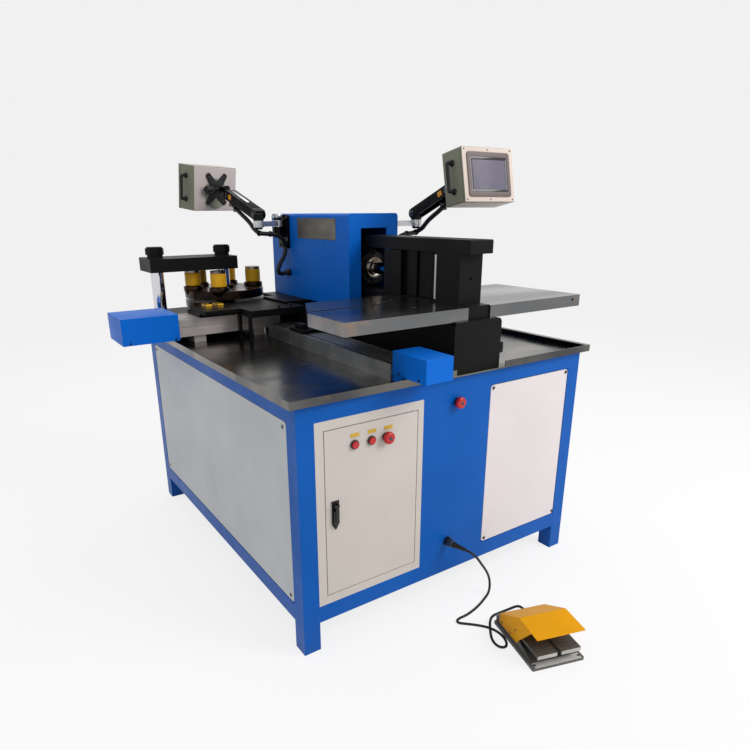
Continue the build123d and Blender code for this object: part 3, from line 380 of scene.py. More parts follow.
def makeScreen():
    finish = Finish("screenGlass", rough=0.42, specular=0.3)
    pale, dark = tone(118, 112, 128), tone(98, 92, 110)
    glass = finish.group("mottle", Scale=9.0, Tone_A=pale, Tone_B=dark, Softness=0.3)
    worn = finish.span(glass["Mask"], 0.0, 1.0, 0.36, 0.48)
    finish.feed(finish.shader, Base_Color=glass["Color"], Roughness=worn)
    return finish.material


finishes = {}
for maker, rows in ((makePaint, paints), (makeMetal, metals), (makePlastic, plastics)):
    for label, row in rows.items():
        finishes[label] = maker(label, row)
finishes["screenGlass"] = makeScreen()
print("finishes made:", len(finishes))

# Finish of every CAD node; both_ stands for right_ and left_
nodeFinish = {
    "frameBlue": "base_frame front_sheet power_pack",
    "coverBlue": "cylinder_cover motor_covers",
    "panelGrey": "side_panels",
    "panelWhite": "front_panel",
    "cream": "door_surround door_leaf both_pendant_case",
    "pressBlack": "press_base bending_frame ram_cylinder ram_pusher y_carriage x_carriage punch_base "
                  "crosshead",
    "armBlack": "arm_brackets both_elbow_post both_spring_arm both_head_link both_yoke",
    "alloy": "both_lower_arm",
    "redGloss": "button_left button_right door_stop_button front_stop_button",
    "blackPlastic": "lock_cam cable_plug both_pendant_fittings",
    "blackGloss": "lock_lever",
    "screwSteel": "door_switch_rings front_fittings",
    "trayPolish": "tray",
    "dieSteel": "bend_die",
    "chrome": "ram_rod guide_posts",
    "tableSteel": "work_tables",
    "railDark": "y_rail",
    "railAluminium": "x_rail",
    "brass": "clamp_jaws",
    "oiledSteel": "upper_turret lower_turret",
    "punchSteel": "working_punch punches",
    "yellowSleeve": "working_stripper strippers",
    "pedalGrey": "pedal_base",
    "guardOrange": "pedal_guard",
    "treadleGrey": "treadle_left treadle_right",
    "cableRubber": "pedal_cable",
}
for label, nodes in nodeFinish.items():
    both = nodes.replace("both_", "right_") + " " + nodes.replace("both_", "left_")
    for node in dict.fromkeys(both.split()):
        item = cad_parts[node]
        item.data.materials.clear()
        item.data.materials.append(finishes[label])

# Pedal cable: one smooth line from the plug, over the floor to the pedal's gland
pedalPlace = {"x": 684, "y": -370, "turn": -17}
cableSetup = {
    "exit": (618, -80, 223),
    "lead": (20, -50, -7),        # the plug's tail points this way
    "straight": 24,
    "diameter": 9,
    "fall": [(647, -112, 195), (670, -108, 164), (697, -101, 131), (723, -93, 96), (742, -86, 63),
             (748, -86, 31), (734, -96, 9)],
    "floor": [(698, -110, 5), (660, -125, 5), (618, -137, 5), (574, -144, 5), (534, -142, 5),
              (519, -157, 5), (545, -181, 5), (572, -208, 5), (594, -238, 5), (603, -272, 5),
              (598, -304, 5), (585, -328, 5), (568, -339, 5), (552, -330, 5), (549, -308, 5),
              (560, -280, 6), (584, -250, 16), (612, -222, 15)],
    "behindPedal": [(-86, 150, 9), (-52, 161, 6), (-16, 165, 9), (18, 165, 17), (30, 153, 20), (30, 137, 20)],
    "length": 1.04,
}


def onPedal(x, y, z):         # from the pedal's own middle and turn
    turn = math.radians(pedalPlace["turn"])
    east = pedalPlace["x"] + x * math.cos(turn) - y * math.sin(turn)
    return (east, pedalPlace["y"] + x * math.sin(turn) + y * math.cos(turn), z)


def smoothCurve(name, points, radius, roundness, resolution):      # points in metres, radius in millimetres
    data = bpy.data.curves.new(name, "CURVE")
    data.dimensions = "3D"
    data.bevel_depth = mm(radius)
    data.bevel_resolution = roundness
    data.resolution_u = resolution
    spline = data.splines.new("NURBS")
    spline.points.add(len(points) - 1)
    for point, place in zip(spline.points, points):
        point.co = (*place, 1)
    spline.order_u = 3
    spline.use_endpoint_u = True
    return data


def freeCable(name, route, radius):
    data = smoothCurve(name, [at(*place) for place in route], radius, 5, 16)
    data.materials.append(finishes["cableRubber"])
    cable = bpy.data.objects.new(name, data)
    scene.collection.objects.link(cable)
    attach(cable, "machine")
    return cable


def makeCable(setup):
    start = Vector(setup["exit"])
    lead = Vector(setup["lead"]).normalized() * setup["straight"]
    route = [tuple(start), tuple(start + lead)] + setup["fall"] + setup["floor"]
    route += [onPedal(*point) for point in setup["behindPedal"]]
    cable = freeCable("pedalCable", route, setup["diameter"] / 2)
    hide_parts("pedal_cable")
    return cable


pedalCable = makeCable(cableSetup)
print("cable laid")


# Mesh helpers; sizes in millimetres
sharpAngle = 35           # degrees between faces from which an edge is sharp
fluteDepth = 0.035        # share of the radius
headTurn = 0.37           # radians from one screw's recess to the next


def facing(place, direction, roll=0.0):   # local Z points along direction
    turned = Vector(direction).to_track_quat("Z", "Y").to_matrix().to_4x4()
    return Matrix.Translation(place) @ turned @ Matrix.Rotation(roll, 4, "Z")


def shiftBy(x, y, z):
    return Matrix.Translation((mm(x), mm(y), mm(z)))


def turnBy(degrees, axis):
    return Matrix.Rotation(math.radians(degrees), 4, axis)


def outward(place, x, y, z, sign):        # local Z to the piece's own left or right
    return place @ shiftBy(x, y, z) @ turnBy(-90 * sign, "X")


def finishPiece(name, mesh, label, body):
    data = bpy.data.meshes.new(name)
    bmesh.ops.recalc_face_normals(mesh, faces=mesh.faces)
    mesh.to_mesh(data)
    mesh.free()
    for one in label if isinstance(label, list) else [label]:
        data.materials.append(finishes[one])
    piece = bpy.data.objects.new(name, data)
    scene.collection.objects.link(piece)
    data.shade_smooth()
    data.set_sharp_from_angle(angle=math.radians(sharpAngle))
    if body:
        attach(piece, body)
    return piece


def addSpun(mesh, matrix, profile, segments=28):
    # profile: (radius, height) from the bottom to the top
    # a third word makes that ring six-sided ("hex") or finely fluted ("flutes")
    rings = []
    for radius, height, *kind in profile:
        if radius <= 0:
            rings.append([mesh.verts.new(matrix @ Vector((0, 0, mm(height))))])
            continue
        ring = []
        for i in range(segments):
            angle = 2 * math.pi * i / segments
            reach = radius
            if kind == ["hex"]:
                reach *= math.cos(math.pi / 6) / math.cos((angle % (math.pi / 3)) - math.pi / 6)
            if kind == ["flutes"]:
                reach *= 1 + fluteDepth * (1 if i % 2 else -1)
            spot = Vector((mm(reach) * math.cos(angle), mm(reach) * math.sin(angle), mm(height)))
            ring.append(mesh.verts.new(matrix @ spot))
        rings.append(ring)
    for low, high in zip(rings, rings[1:]):
        for i in range(segments):
            j = i + 1
            corners = (low[i % len(low)], low[j % len(low)], high[j % len(high)], high[i % len(high)])
            corners = list(dict.fromkeys(corners))        # a point of the profile counts once
            if len(corners) > 2:
                mesh.faces.new(corners)


def addBlock(mesh, matrix, size, bevel, segments=2):   # centred on the matrix
    block = bmesh.new()
    bmesh.ops.create_cube(block, size=1.0)
    bmesh.ops.scale(block, vec=Vector([mm(side) for side in size]), verts=block.verts)
    bmesh.ops.bevel(block, geom=block.edges[:], offset=mm(bevel), offset_type="OFFSET", segments=segments,
                    profile=0.5, affect="EDGES")
    bmesh.ops.transform(block, matrix=matrix, verts=block.verts)
    data = bpy.data.meshes.new("block")
    block.to_mesh(data)
    block.free()
    mesh.from_mesh(data)
    bpy.data.meshes.remove(data)


def onCircle(radius, degrees):
    angle = math.radians(degrees)
    return (radius * math.cos(angle), radius * math.sin(angle))


def roundedOutline(width, height, radius, steps=5):
    points = []
    for cx, cy, start in ((1, 1, 0), (-1, 1, 90), (-1, -1, 180), (1, -1, 270)):
        for i in range(steps + 1):
            x, y = onCircle(radius, start + 90 * i / steps)
            points.append((cx * (width / 2 - radius) + x, cy * (height / 2 - radius) + y))
    return points


def circleOutline(x, y, radius, steps=20):
    ring = [onCircle(radius, 360 * i / steps) for i in range(steps)]
    return [(x + east, y + north) for east, north in ring]


def curvePiece(name, curve, label, body, matrix=None):      # a plate has a matrix, and its seams are welded
    holder = bpy.data.objects.new(name + "Line", curve)
    scene.collection.objects.link(holder)
    bpy.context.view_layer.update()
    data = bpy.data.meshes.new_from_object(holder.evaluated_get(bpy.context.evaluated_depsgraph_get()))
    bpy.data.objects.remove(holder)
    bpy.data.curves.remove(curve)
    mesh = bmesh.new()
    if matrix is not None:
        data.transform(matrix)
    mesh.from_mesh(data)
    bpy.data.meshes.remove(data)
    if matrix is not None:
        bmesh.ops.remove_doubles(mesh, verts=mesh.verts, dist=1e-6)
    return finishPiece(name, mesh, label, body)


def cutPlate(name, outlines, thickness, bevel, matrix, label, body):
    # flat plate from an outline and its holes, lying on local Z = 0
    curve = bpy.data.curves.new(name, "CURVE")
    curve.dimensions = "2D"
    curve.fill_mode = "BOTH"
    curve.extrude = mm(thickness / 2 - bevel)
    curve.bevel_depth = mm(bevel)
    curve.bevel_resolution = 1
    for outline in outlines:
        spline = curve.splines.new("POLY")
        spline.points.add(len(outline) - 1)
        for point, place in zip(spline.points, outline):
            point.co = (mm(place[0]), mm(place[1]), 0, 1)
        spline.use_cyclic_u = True
    return curvePiece(name, curve, label, body, matrix @ shiftBy(0, 0, thickness / 2))


def tubePiece(name, points, radius, label, body):
    # smooth round bar along given points, in metres
    curve = smoothCurve(name, points, radius, 4, 10)
    curve.use_fill_caps = True
    return curvePiece(name, curve, label, body)


def spunPiece(name, places, profile, label, body="machine", segments=28):      # one form at every place
    mesh = bmesh.new()
    for place in places:
        addSpun(mesh, place, profile, segments)
    return finishPiece(name, mesh, label, body)


def blockPiece(name, blocks, label, body):       # blocks: (matrix, size, bevel, segments)
    mesh = bmesh.new()
    for block in blocks:
        addBlock(mesh, *block)
    return finishPiece(name, mesh, label, body)


def screwSet(name, places, direction, radius, body, label="screwSteel", rise=2.4):
    # pan heads with a hex recess, all in one mesh
    mesh = bmesh.new()
    profile = [(radius * 0.98, 0), (radius, rise * 0.35), (radius * 0.86, rise * 0.85), (radius * 0.62, rise),
               (radius * 0.46, rise, "hex"), (radius * 0.42, rise * 0.35, "hex"), (0, rise * 0.3)]
    for i, place in enumerate(places):
        addSpun(mesh, facing(at(*place), direction, headTurn * i), profile)
    return finishPiece(name, mesh, label, body)


# Cabinet: panel screws and bare label plates
toFront, toBack, toLeft, toRight, toTop = (0, -1, 0), (0, 1, 0), (-1, 0, 0), (1, 0, 0), (0, 0, 1)
cabinet = {
    "width": 1250, "depth": 1460,
    "panelInset": 84,             # screw centres from the frame's outside
    "lowScrew": 186, "highScrew": 770,
    "frontScrews": [(788, 778), (1177, 778), (789, 179), (1181, 179)],
    "screwRadius": 6.5,
    "labelSize": (32, 12), "labelZ": 727, "labelX": (201, 265, 328),
}


def dressCabinet(c):
    heights = (c["lowScrew"], c["highScrew"])
    along = (c["panelInset"], c["depth"] - c["panelInset"])
    across = (c["panelInset"], c["width"] - c["panelInset"])
    panels = {
        "left": (toLeft, [(1, y, z) for y in along for z in heights]),
        "right": (toRight, [(c["width"] - 1, y, z) for y in along for z in heights]),
        "back": (toBack, [(x, c["depth"] - 1, z) for x in across for z in heights]),
        "front": (toFront, [(x, 1, z) for x, z in c["frontScrews"]]),
    }
    for panel, (direction, places) in panels.items():
        screwSet(panel + "PanelScrews", places, direction, c["screwRadius"], "machine")
    for i, x in enumerate(c["labelX"]):
        place = facing(at(x, 0, c["labelZ"]), toFront)
        outline = roundedOutline(*c["labelSize"], 2)
        cutPlate("buttonPlate%d" % (i + 1), [outline], 1.0, 0.2, place, "labelYellow", "door")


dressCabinet(cabinet)

# Door lock: black face plate under the lever; dark centres of the stop buttons
lockFace = {"at": (125, -3, 478), "half": 13.6, "top": 49.6, "shoulder": 30, "tip": 51.4, "hole": 8.5}
stopButtons = {"doorStop": "door_stop", "frontStop": "front_stop"}
stopCentre = [(6.5, -0.4), (6.5, 0.5), (5.3, 0.9), (4.1, 0.5), (0, 0.5)]


def dressLock(f):
    place = facing(at(*f["at"]), toFront)
    up = 1 if (place.to_3x3() @ Vector((0, 1, 0))).z > 0 else -1
    half = f["half"]
    low = -f["shoulder"]
    corners = [(-half, f["top"]), (half, f["top"]), (half, low), (0, -f["tip"]), (-half, low)]
    outlines = [[(x, up * z) for x, z in corners], circleOutline(0, 0, f["hole"])]
    cutPlate("lockFace", outlines, 0.9, 0.25, place, "blackPlastic", "door")


def dressStop(name, body):
    low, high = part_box(body + "_button")
    place = facing(Vector(((low.x + high.x) / 2, low.y, (low.z + high.z) / 2)), toFront)
    spunPiece(name + "Centre", [place], stopCentre, "screwSteel", body, 24)


dressLock(lockFace)
for name, body in stopButtons.items():
    dressStop(name, body)
print("cabinet dressed")

# Cylinder cover: bare plate with rivets
coverPlate = {"wall": 580, "y": (707, 1028), "z": (1262, 1345), "corner": 5, "thick": 1.6, "rivetInset": 8}
plateRivet = [(3.2, 0), (2.88, 0.9), (1.6, 1.6), (0, 1.8)]


def dressCover(c):
    (y0, y1), (z0, z1) = c["y"], c["z"]
    turned = Matrix(((0, 0, -1), (-1, 0, 0), (0, 1, 0))).to_4x4()      # local Z to the left, local Y up
    place = Matrix.Translation(at(c["wall"], (y0 + y1) / 2, (z0 + z1) / 2)) @ turned
    outline = roundedOutline(y1 - y0, z1 - z0, c["corner"])
    cutPlate("plainPlate", [outline], c["thick"], 0.4, place, "namePlate", "machine")
    inset = c["rivetInset"]
    corners = [(y, z) for y in (y0 + inset, y1 - inset) for z in (z0 + inset, z1 - inset)]
    places = [facing(at(c["wall"] - c["thick"], y, z), toLeft) for y, z in corners]
    spunPiece("plateRivets", places, plateRivet, "screwSteel", segments=18)


dressCover(coverPlate)

# Work tables: countersunk screws, and two pegs on the rest plate
tableFittings = {
    "tableScrews": {
        "top": 1070,
        "places": [(515, 285), (564, 311), (515, 120), (600, 120)],
        "profile": [(9, 0), (9, 0.25), (7.8, 0.4), (6.6, 0.3), (4.4, 0.3, "hex"), (4.2, 0.06, "hex"),
                    (0, 0.05)],
    },
    "restPegs": {
        "top": 990,
        "places": [(392, 868), (446, 868)],
        "profile": [(7, 0), (7, 2), (5, 2.6), (5, 9), (6.4, 10), (6.4, 13), (5, 14), (0, 14)],
    },
}
for name, fitting in tableFittings.items():
    places = [facing(at(x, y, fitting["top"]), toTop) for x, y in fitting["places"]]
    spunPiece(name, places, fitting["profile"], "blackPlastic")

# Motor covers: small screws near their lower edges
coverScrews = {
    "crossCoverScrews": (toFront, [(-200, 977, 888), (-21, 977, 888)]),
    "longCoverScrews": (toLeft, [(381, 20, 887), (381, -80, 887)]),
}
for name, (direction, places) in coverScrews.items():
    screwSet(name, places, direction, 4.2, "machine", "blackPlastic")
print("top dressed")

# Turret: a cup round each punch on the upper disc
turretCups = {"x": 325, "y": 1300, "pitch": 147, "top": 1040, "stations": 6, "empty": (2,), "first": 180}
cupProfile = [(24, -26), (34, -22), (40, -12), (43, -2), (43.5, 12), (42, 15), (38.5, 15.5), (37.2, 14),
              (37.2, 0.6), (22, 0.6)]


def makeCups(t):
    places = []
    for i in range(t["stations"]):
        if i not in t["empty"]:
            x, y = onCircle(t["pitch"], t["first"] + 360 / t["stations"] * i)
            places.append(Matrix.Translation(at(t["x"] + x, t["y"] + y, t["top"])))
    spunPiece("turretCups", places, cupProfile, "oiledSteel", "turret", 36)


makeCups(turretCups)

# Bending cylinder: bolted black flange and a steel gland ring where the rod comes out
flange = {
    "x": 707, "face": 632, "z": 1155,
    "bolts": 6, "circle": 54, "boltSeat": 8.4,
    "plate": [(30, 0), (64, 0), (65, 1), (65, 7), (63, 8.5), (44, 8.5), (42, 9.5)],
    "bolt": [(6, 0), (6, 4.5), (5.2, 5.2), (3.2, 5.2, "hex"), (3, 2.6, "hex"), (0, 2.6)],
    "ring": [(26, 8), (42, 8), (43, 9), (43, 14), (41, 17), (33, 18), (30, 17), (25, 15)],
}


def makeFlange(f):
    base = facing(at(f["x"], f["face"], f["z"]), toFront)
    mesh = bmesh.new()
    addSpun(mesh, base, f["plate"], 64)
    for i in range(f["bolts"]):
        x, y = onCircle(f["circle"], 360 * (i + 0.5) / f["bolts"])
        addSpun(mesh, base @ shiftBy(x, y, f["boltSeat"]), f["bolt"], 18)
    finishPiece("rodFlange", mesh, "pressBlack", "machine")
    spunPiece("rodGlandRing", [base], f["ring"], "punchSteel", "machine", 64)


makeFlange(flange)

# Dark joint line round the door surround
surroundLow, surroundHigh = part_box("door_surround")
jointLine = {"width": 3.0, "depth": 1.4, "overlap": 1}


def makeJointLine(j):
    wide = (surroundHigh.x - surroundLow.x) * 1000
    tall = (surroundHigh.z - surroundLow.z) * 1000
    middle = (surroundLow + surroundHigh) / 2
    middle.y = surroundHigh.y
    outer = roundedOutline(wide + 2 * j["width"], tall + 2 * j["width"], 2)
    inner = roundedOutline(wide - j["overlap"], tall - j["overlap"], 1)
    place = facing(middle, toFront)
    cutPlate("surroundJoint", [outer, inner], j["depth"], 0.2, place, "sealRubber", "machine")


makeJointLine(jointLine)
print("turret, flange and door joint made")

# Pendants and arms, set out from the same points as the frame
arms = {
    "right": {"wall": 816, "sign": 1, "bracket": 700, "elbow": (980, 695), "head": (991, 466),
              "facing": (0.0, -1.0), "tilt": 11},
    "left": {"wall": 580, "sign": -1, "bracket": 1150, "elbow": (425, 1095), "head": (393, 1350),
             "facing": (-0.357, 0.934), "tilt": 8},
}
armSizes = {"armZ": 1308, "armHeight": 28, "liftZ": 1362, "headZ": 1448, "yokeZ": 1470, "bracketReach": 36,
            "headReach": 30, "yokeReach": 47, "width": 52, "height": 40}
box = {
    "width": 256, "height": 193, "depth": 106,
    "back": 28,           # from the tilt axis to the box
    "door": 9, "seal": 2, "corner": 5,
    "bezel": (212, 155), "inner": (188, 124), "screen": (168, 104),
    "screwInset": (12, 9),
    "screw": [(3.2, 0), (3.2, 0.5), (2.6, 1.0), (1.6, 1.1), (1.2, 1.1, "hex"), (1.1, 0.4, "hex"), (0, 0.4)],
}
handle = {
    "radius": 6.5,
    "line": [(0, -50), (14, -50), (26, -50), (26, -40), (26, 0), (26, 40), (26, 50), (14, 50), (0, 50)],
    "feet": (-50, 50),
    "foot": [(0, 0), (12, 0), (12, 3), (10.5, 4.5), (9, 5), (7.5, 9), (0, 9)],
}
star = {
    "aims": (50, 130, 230, 310),
    "arm": ((-26, 40), (-9, 74), (-7, 83), (0, 87), (7, 83), (9, 74), (26, 40)),      # degrees off, reach
    "waist": 33,
    "holes": ((74, 4.6), (54, 3.2)),                                                  # reach, radius
    "thick": 5.0,
    "seat": 3.4,
    "dishDrop": 20,
    "dish": [(66, -0.5), (66, 2.2), (64, 3.2), (57, 3.2), (54, 1.8), (0, 1.8)],
}
tiltJoint = {
    "lugY": 25.3,
    "lug": (24, 9, 26),
    "pin": [(0, -4.5), (12.5, -4.5), (13, -3.9), (13, 3.9), (12.5, 4.5), (0, 4.5)],
    "knobY": 30,
    "knob": [(0, 0), (9, 0), (9, 14), (15, 15), (16, 17, "flutes"), (16, 50, "flutes"), (14, 53),
             (6, 54), (0, 54)],
}
squareOn = 0.75           # how far a face has to look one way to count as front, back or top


def uprightMatrix(x, y, z, aim):
    along = Vector((*aim, 0)).normalized()
    across = Vector(toTop).cross(along)
    turned = Matrix((along, across, Vector(toTop))).transposed().to_4x4()
    return Matrix.Translation(at(x, y, z)) @ turned


def boxMatrix(side):
    a = arms[side]
    x, y = [place + aim * armSizes["yokeReach"] for place, aim in zip(a["head"], a["facing"])]
    return uprightMatrix(x, y, armSizes["yokeZ"], a["facing"]) @ turnBy(-a["tilt"], "Y")


def caseShell(name, place, middle, size, bevel, body):      # one cream case toned by facing: painted light on the front, painted shade on the back and top, deeper painted shade on the sides
    mesh = bmesh.new()
    addBlock(mesh, place @ shiftBy(middle, 0, 0), size, bevel, 3)
    bmesh.ops.recalc_face_normals(mesh, faces=mesh.faces)
    inverse = place.to_3x3().inverted()
    for face in mesh.faces:
        normal = inverse @ face.normal
        if normal.x > squareOn:
            face.material_index = 2
        elif normal.x < -squareOn or abs(normal.z) > squareOn:
            face.material_index = 1
    return finishPiece(name, mesh, ["boxSide", "boxBack", "boxFront"], body)


def makeCase(side, place, body):
    w, h, d = box["width"], box["height"], box["depth"]
    tub = d - box["door"] - box["seal"]
    shell = caseShell(side + "PendantTub", place, box["back"] + tub / 2, (tub, w, h), box["corner"], body)
    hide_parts(side + "_pendant_case", side + "_pendant_fittings")
    middle = place @ shiftBy(box["back"] + tub + box["seal"] / 2, 0, 0)
    blockPiece(side + "PendantSeal", [(middle, (box["seal"] + 1, w - 6, h - 6), 0.4, 1)], "sealRubber", body)
    caseShell(side + "PendantDoor", place, box["back"] + d - box["door"] / 2, (box["door"], w, h), 3.0, body)


def makeFront(side, place, body):       # bezel with the screen set back in it, and the door's flat screws
    front = place @ shiftBy(box["back"] + box["depth"], 0, 0) @ turnBy(90, "Y") @ turnBy(90, "Z")
    iw, ih = box["inner"]
    sw, sh = box["screen"]
    rim = [roundedOutline(*box["bezel"], 10), roundedOutline(iw, ih, 4)]
    band = [roundedOutline(iw + 2, ih + 2, 4), roundedOutline(sw, sh, 3)]
    cutPlate(side + "Bezel", rim, 4.0, 1.0, front, "bezelGrey", body)
    cutPlate(side + "BezelBand", band, 3.4, 0.3, front, "blackGloss", body)
    cutPlate(side + "Screen", [roundedOutline(sw + 4, sh + 4, 3)], 2.4, 0.2, front, "screenGlass", body)
    farX = box["width"] / 2 - box["screwInset"][0]
    farY = box["height"] / 2 - box["screwInset"][1]
    places = [front @ shiftBy(x, y, 0) for x in (-farX, 0, farX) for y in (-farY, farY)]
    spunPiece(side + "DoorScrews", places, box["screw"], "screwSteel", body, 18)


def makeHandle(side, place, grip, body):
    edge = grip * box["width"] / 2
    middle = box["back"] + box["depth"] / 2
    line = [place @ Vector((mm(middle), mm(edge + grip * out), mm(z))) for out, z in handle["line"]]
    tubePiece(side + "Handle", line, handle["radius"], "blackPlastic", body)
    feet = [outward(place, middle, edge, z, grip) for z in handle["feet"]]
    spunPiece(side + "HandleFeet", feet, handle["foot"], "blackPlastic", body, 24)


def makeBack(side, place, body):        # four-armed plate with holes, on a shallow round dish
    back = place @ shiftBy(box["back"], 0, 0) @ turnBy(-90, "Y") @ turnBy(-90, "Z")
    outline = []
    for i, aim in enumerate(star["aims"]):
        outline += [onCircle(reach, aim + off) for off, reach in star["arm"]]
        outline.append(onCircle(star["waist"], aim + (50 if i % 2 else 40)))
    outlines = [outline]
    for out, radius in star["holes"]:
        outlines += [circleOutline(*onCircle(out, aim), radius, 16) for aim in star["aims"]]
    plate = back @ shiftBy(0, 0, star["seat"])
    cutPlate(side + "StarPlate", outlines, star["thick"], 0.8, plate, "blackPlastic", body)
    # the dish takes the case sides' tone, a painted shade
    spunPiece(side + "BackDish", [back @ shiftBy(0, -star["dishDrop"], 0)], star["dish"], "boxSide", body, 56)


def makeTiltJoint(side, place, grip, body):
    mesh = bmesh.new()
    for end in (-1, 1):
        addBlock(mesh, place @ shiftBy(box["back"] / 2, end * tiltJoint["lugY"], 0), tiltJoint["lug"], 1.5)
        addSpun(mesh, outward(place, 0, end * tiltJoint["lugY"], 0, end), tiltJoint["pin"], 32)
    finishPiece(side + "TiltLugs", mesh, "blackPlastic", body)
    knob = outward(place, 0, grip * tiltJoint["knobY"], 0, grip)
    spunPiece(side + "TiltKnob", [knob], tiltJoint["knob"], "blackPlastic", body, 40)


def makePendant(side):
    place = boxMatrix(side)
    body = side + "_pendant"
    grip = -1 if arms[side]["facing"][1] < 0 else 1      # the side that carries the handle
    makeCase(side, place, body)
    makeFront(side, place, body)
    makeHandle(side, place, grip, body)
    makeBack(side, place, body)
    makeTiltJoint(side, place, grip, body)


for side in arms:
    makePendant(side)
print("pendants made")

# Spring arms: bright strip, ribs, orange patches, and the cable that follows each arm
armTrim = {
    "strip": (0.36, 0.93, 14),                # from and to, as shares of the arm's length, and width
    "ribs": [0.12 + 0.055 * i for i in range(8)],
    "patch": (0.84, 24, 19),                  # share of the length, long, tall
    "straps": ((0.74, 54), (0.90, 43)),       # share of the length, depth under the arm
    "cap": [(0, 0), (12, 0), (12, 1.6), (10.5, 2.6), (5.5, 2.8), (4.6, 2.8, "hex"), (4.4, 1, "hex"), (0, 1)],
    "wallCap": [(0, 0), (21, 0), (22, 1.5), (22, 15), (20.5, 17.5), (8, 18.6), (0, 18.6)],
    "capLift": 10.3,
    "boltOut": 12,
    "boltPlaces": [(-34, 1228), (-34, 1346), (34, 1228), (34, 1346)],        # beside the arm's axis, height
    "boltRadius": 6.0,
    "boltRise": 4.5,
    "collar": [(22.2, 3), (23.4, 3.8), (23.4, 24.2), (22.2, 25)],
    "gland": [(0, 0), (17, 0), (17, 3), (15.5, 3.4), (15, 4, "hex"), (15, 11, "hex"), (13.5, 12), (12.8, 13),
              (12.2, 19), (11, 21), (9.7, 21.4), (0, 21.4)],
    "cable": 9.5,
    "clip": [(9.0, -5), (12.5, -4), (12.5, 4), (9.0, 5)],
    "under": [(0.97, -19), (0.88, -34), (0.72, -44), (0.52, -50), (0.34, -54), (0.18, -62), (0.05, -74)],
    "dropLength": 0.160,
}
# each run goes on from the last point of the one before it
cableRuns = {
    "right": {
        "elbow": (980, 695, 1284),
        "low": [(952, 689, 1280), (918, 681, 1279)],
        "wall": [(884, 671, 1275), (860, 664, 1263), (843, 667, 1247), (835, 672, 1232)],
        "drop": [(833, 672, 1203), (846, 671, 1172), (868, 670, 1144), (878, 670, 1114),
                 (862, 670, 1098), (836, 670, 1106)],
        "gland": (816, 670, 1106),
    },
    "left": {
        "elbow": (425, 1095, 1284),
        "low": [(452, 1099, 1280), (484, 1108, 1279)],
        "wall": [(514, 1112, 1275), (537, 1110, 1263), (553, 1114, 1247), (561, 1120, 1232)],
        "drop": [(563, 1120, 1203), (550, 1120, 1172), (528, 1120, 1144), (518, 1120, 1114),
                 (534, 1120, 1098), (560, 1120, 1106)],
        "gland": (580, 1120, 1106),
    },
}


def liftFrame(side):          # the spring arm's place and length
    x, y = arms[side]["elbow"]
    run = (arms[side]["head"][0] - x, arms[side]["head"][1] - y)
    flat = math.hypot(*run) - armSizes["headReach"]
    rise = armSizes["headZ"] - armSizes["liftZ"]
    tilted = Matrix.Rotation(-math.atan2(rise, flat), 4, "Y")
    return uprightMatrix(x, y, armSizes["liftZ"], run) @ tilted, math.hypot(flat, rise)


def dressArm(side):
    place, reach = liftFrame(side)
    body = side + "_lift"
    half = armSizes["height"] / 2
    wide = armSizes["width"]
    start, end, width = armTrim["strip"]
    top = place @ shiftBy((start + end) / 2 * reach, 0, half)
    outline = roundedOutline((end - start) * reach, width, 5)
    cutPlate(side + "ArmStrip", [outline], 2.4, 0.8, top, "chrome", body)
    blocks = []
    for rib in armTrim["ribs"]:
        for cheek in (-1, 1):
            leaning = place @ shiftBy(rib * reach, cheek * (wide / 2 + 0.6), 1) @ Matrix.Rotation(0.5, 4, "Y")
            blocks.append((leaning, (4.2, 3.4, half * 1.5), 1.0))
        blocks.append((place @ shiftBy(rib * reach, 0, half + 0.5), (4.2, wide - 8, 3.0), 1.0))
    blockPiece(side + "ArmRibs", blocks, "blackPlastic", body)
    share, long, tall = armTrim["patch"]
    for cheek, letter in ((-1, "A"), (1, "B")):
        spot = outward(place, share * reach, cheek * wide / 2, 1, cheek)
        cutPlate(side + "Patch" + letter, [roundedOutline(long, tall, 4)], 1.2, 0.3, spot, "orangeBand", body)
    blocks = []
    for share, depth in armTrim["straps"]:
        blocks.append((place @ shiftBy(share * reach, 0, -depth), (9, 26, 2.4), 0.8))
        for cheek in (-1, 1):
            hanger = place @ shiftBy(share * reach, cheek * 12, -(half + depth) / 2)
            blocks.append((hanger, (9, 2.4, depth - half), 0.8))
    blockPiece(side + "CableStraps", blocks, "blackPlastic", body)
    for cheek, letter in ((-1, "A"), (1, "B")):
        caps = [outward(place, x, cheek * wide / 2, 0, cheek) for x in (0, reach)]
        spunPiece(side + "ArmCaps" + letter, caps, armTrim["cap"], "screwSteel", body, 30)


def dressLowerArm(side):      # cap and bolts at the wall, alloy collars at both ends of the arm
    a = arms[side]
    bracket = (a["wall"] + a["sign"] * armSizes["bracketReach"], a["bracket"])
    top = armSizes["armZ"] + armSizes["armHeight"]
    cap = facing(at(*bracket, top + armTrim["capLift"]), toTop)
    spunPiece(side + "WallCap", [cap], armTrim["wallCap"], "alloy", "machine", 40)
    boltX = a["wall"] + a["sign"] * armTrim["boltOut"]
    bolts = [(boltX, a["bracket"] + y, z) for y, z in armTrim["boltPlaces"]]
    screwSet(side + "WallBolts", bolts, (a["sign"], 0, 0), armTrim["boltRadius"], "machine",
             rise=armTrim["boltRise"])
    collars = [facing(at(x, y, armSizes["armZ"]), toTop) for x, y in (bracket, a["elbow"])]
    spunPiece(side + "ArmCollars", collars, armTrim["collar"], "alloy", side + "_low", 44)


def clipRing(name, place, along, body):
    spunPiece(name, [facing(place, along)], armTrim["clip"], "blackPlastic", body, 24)


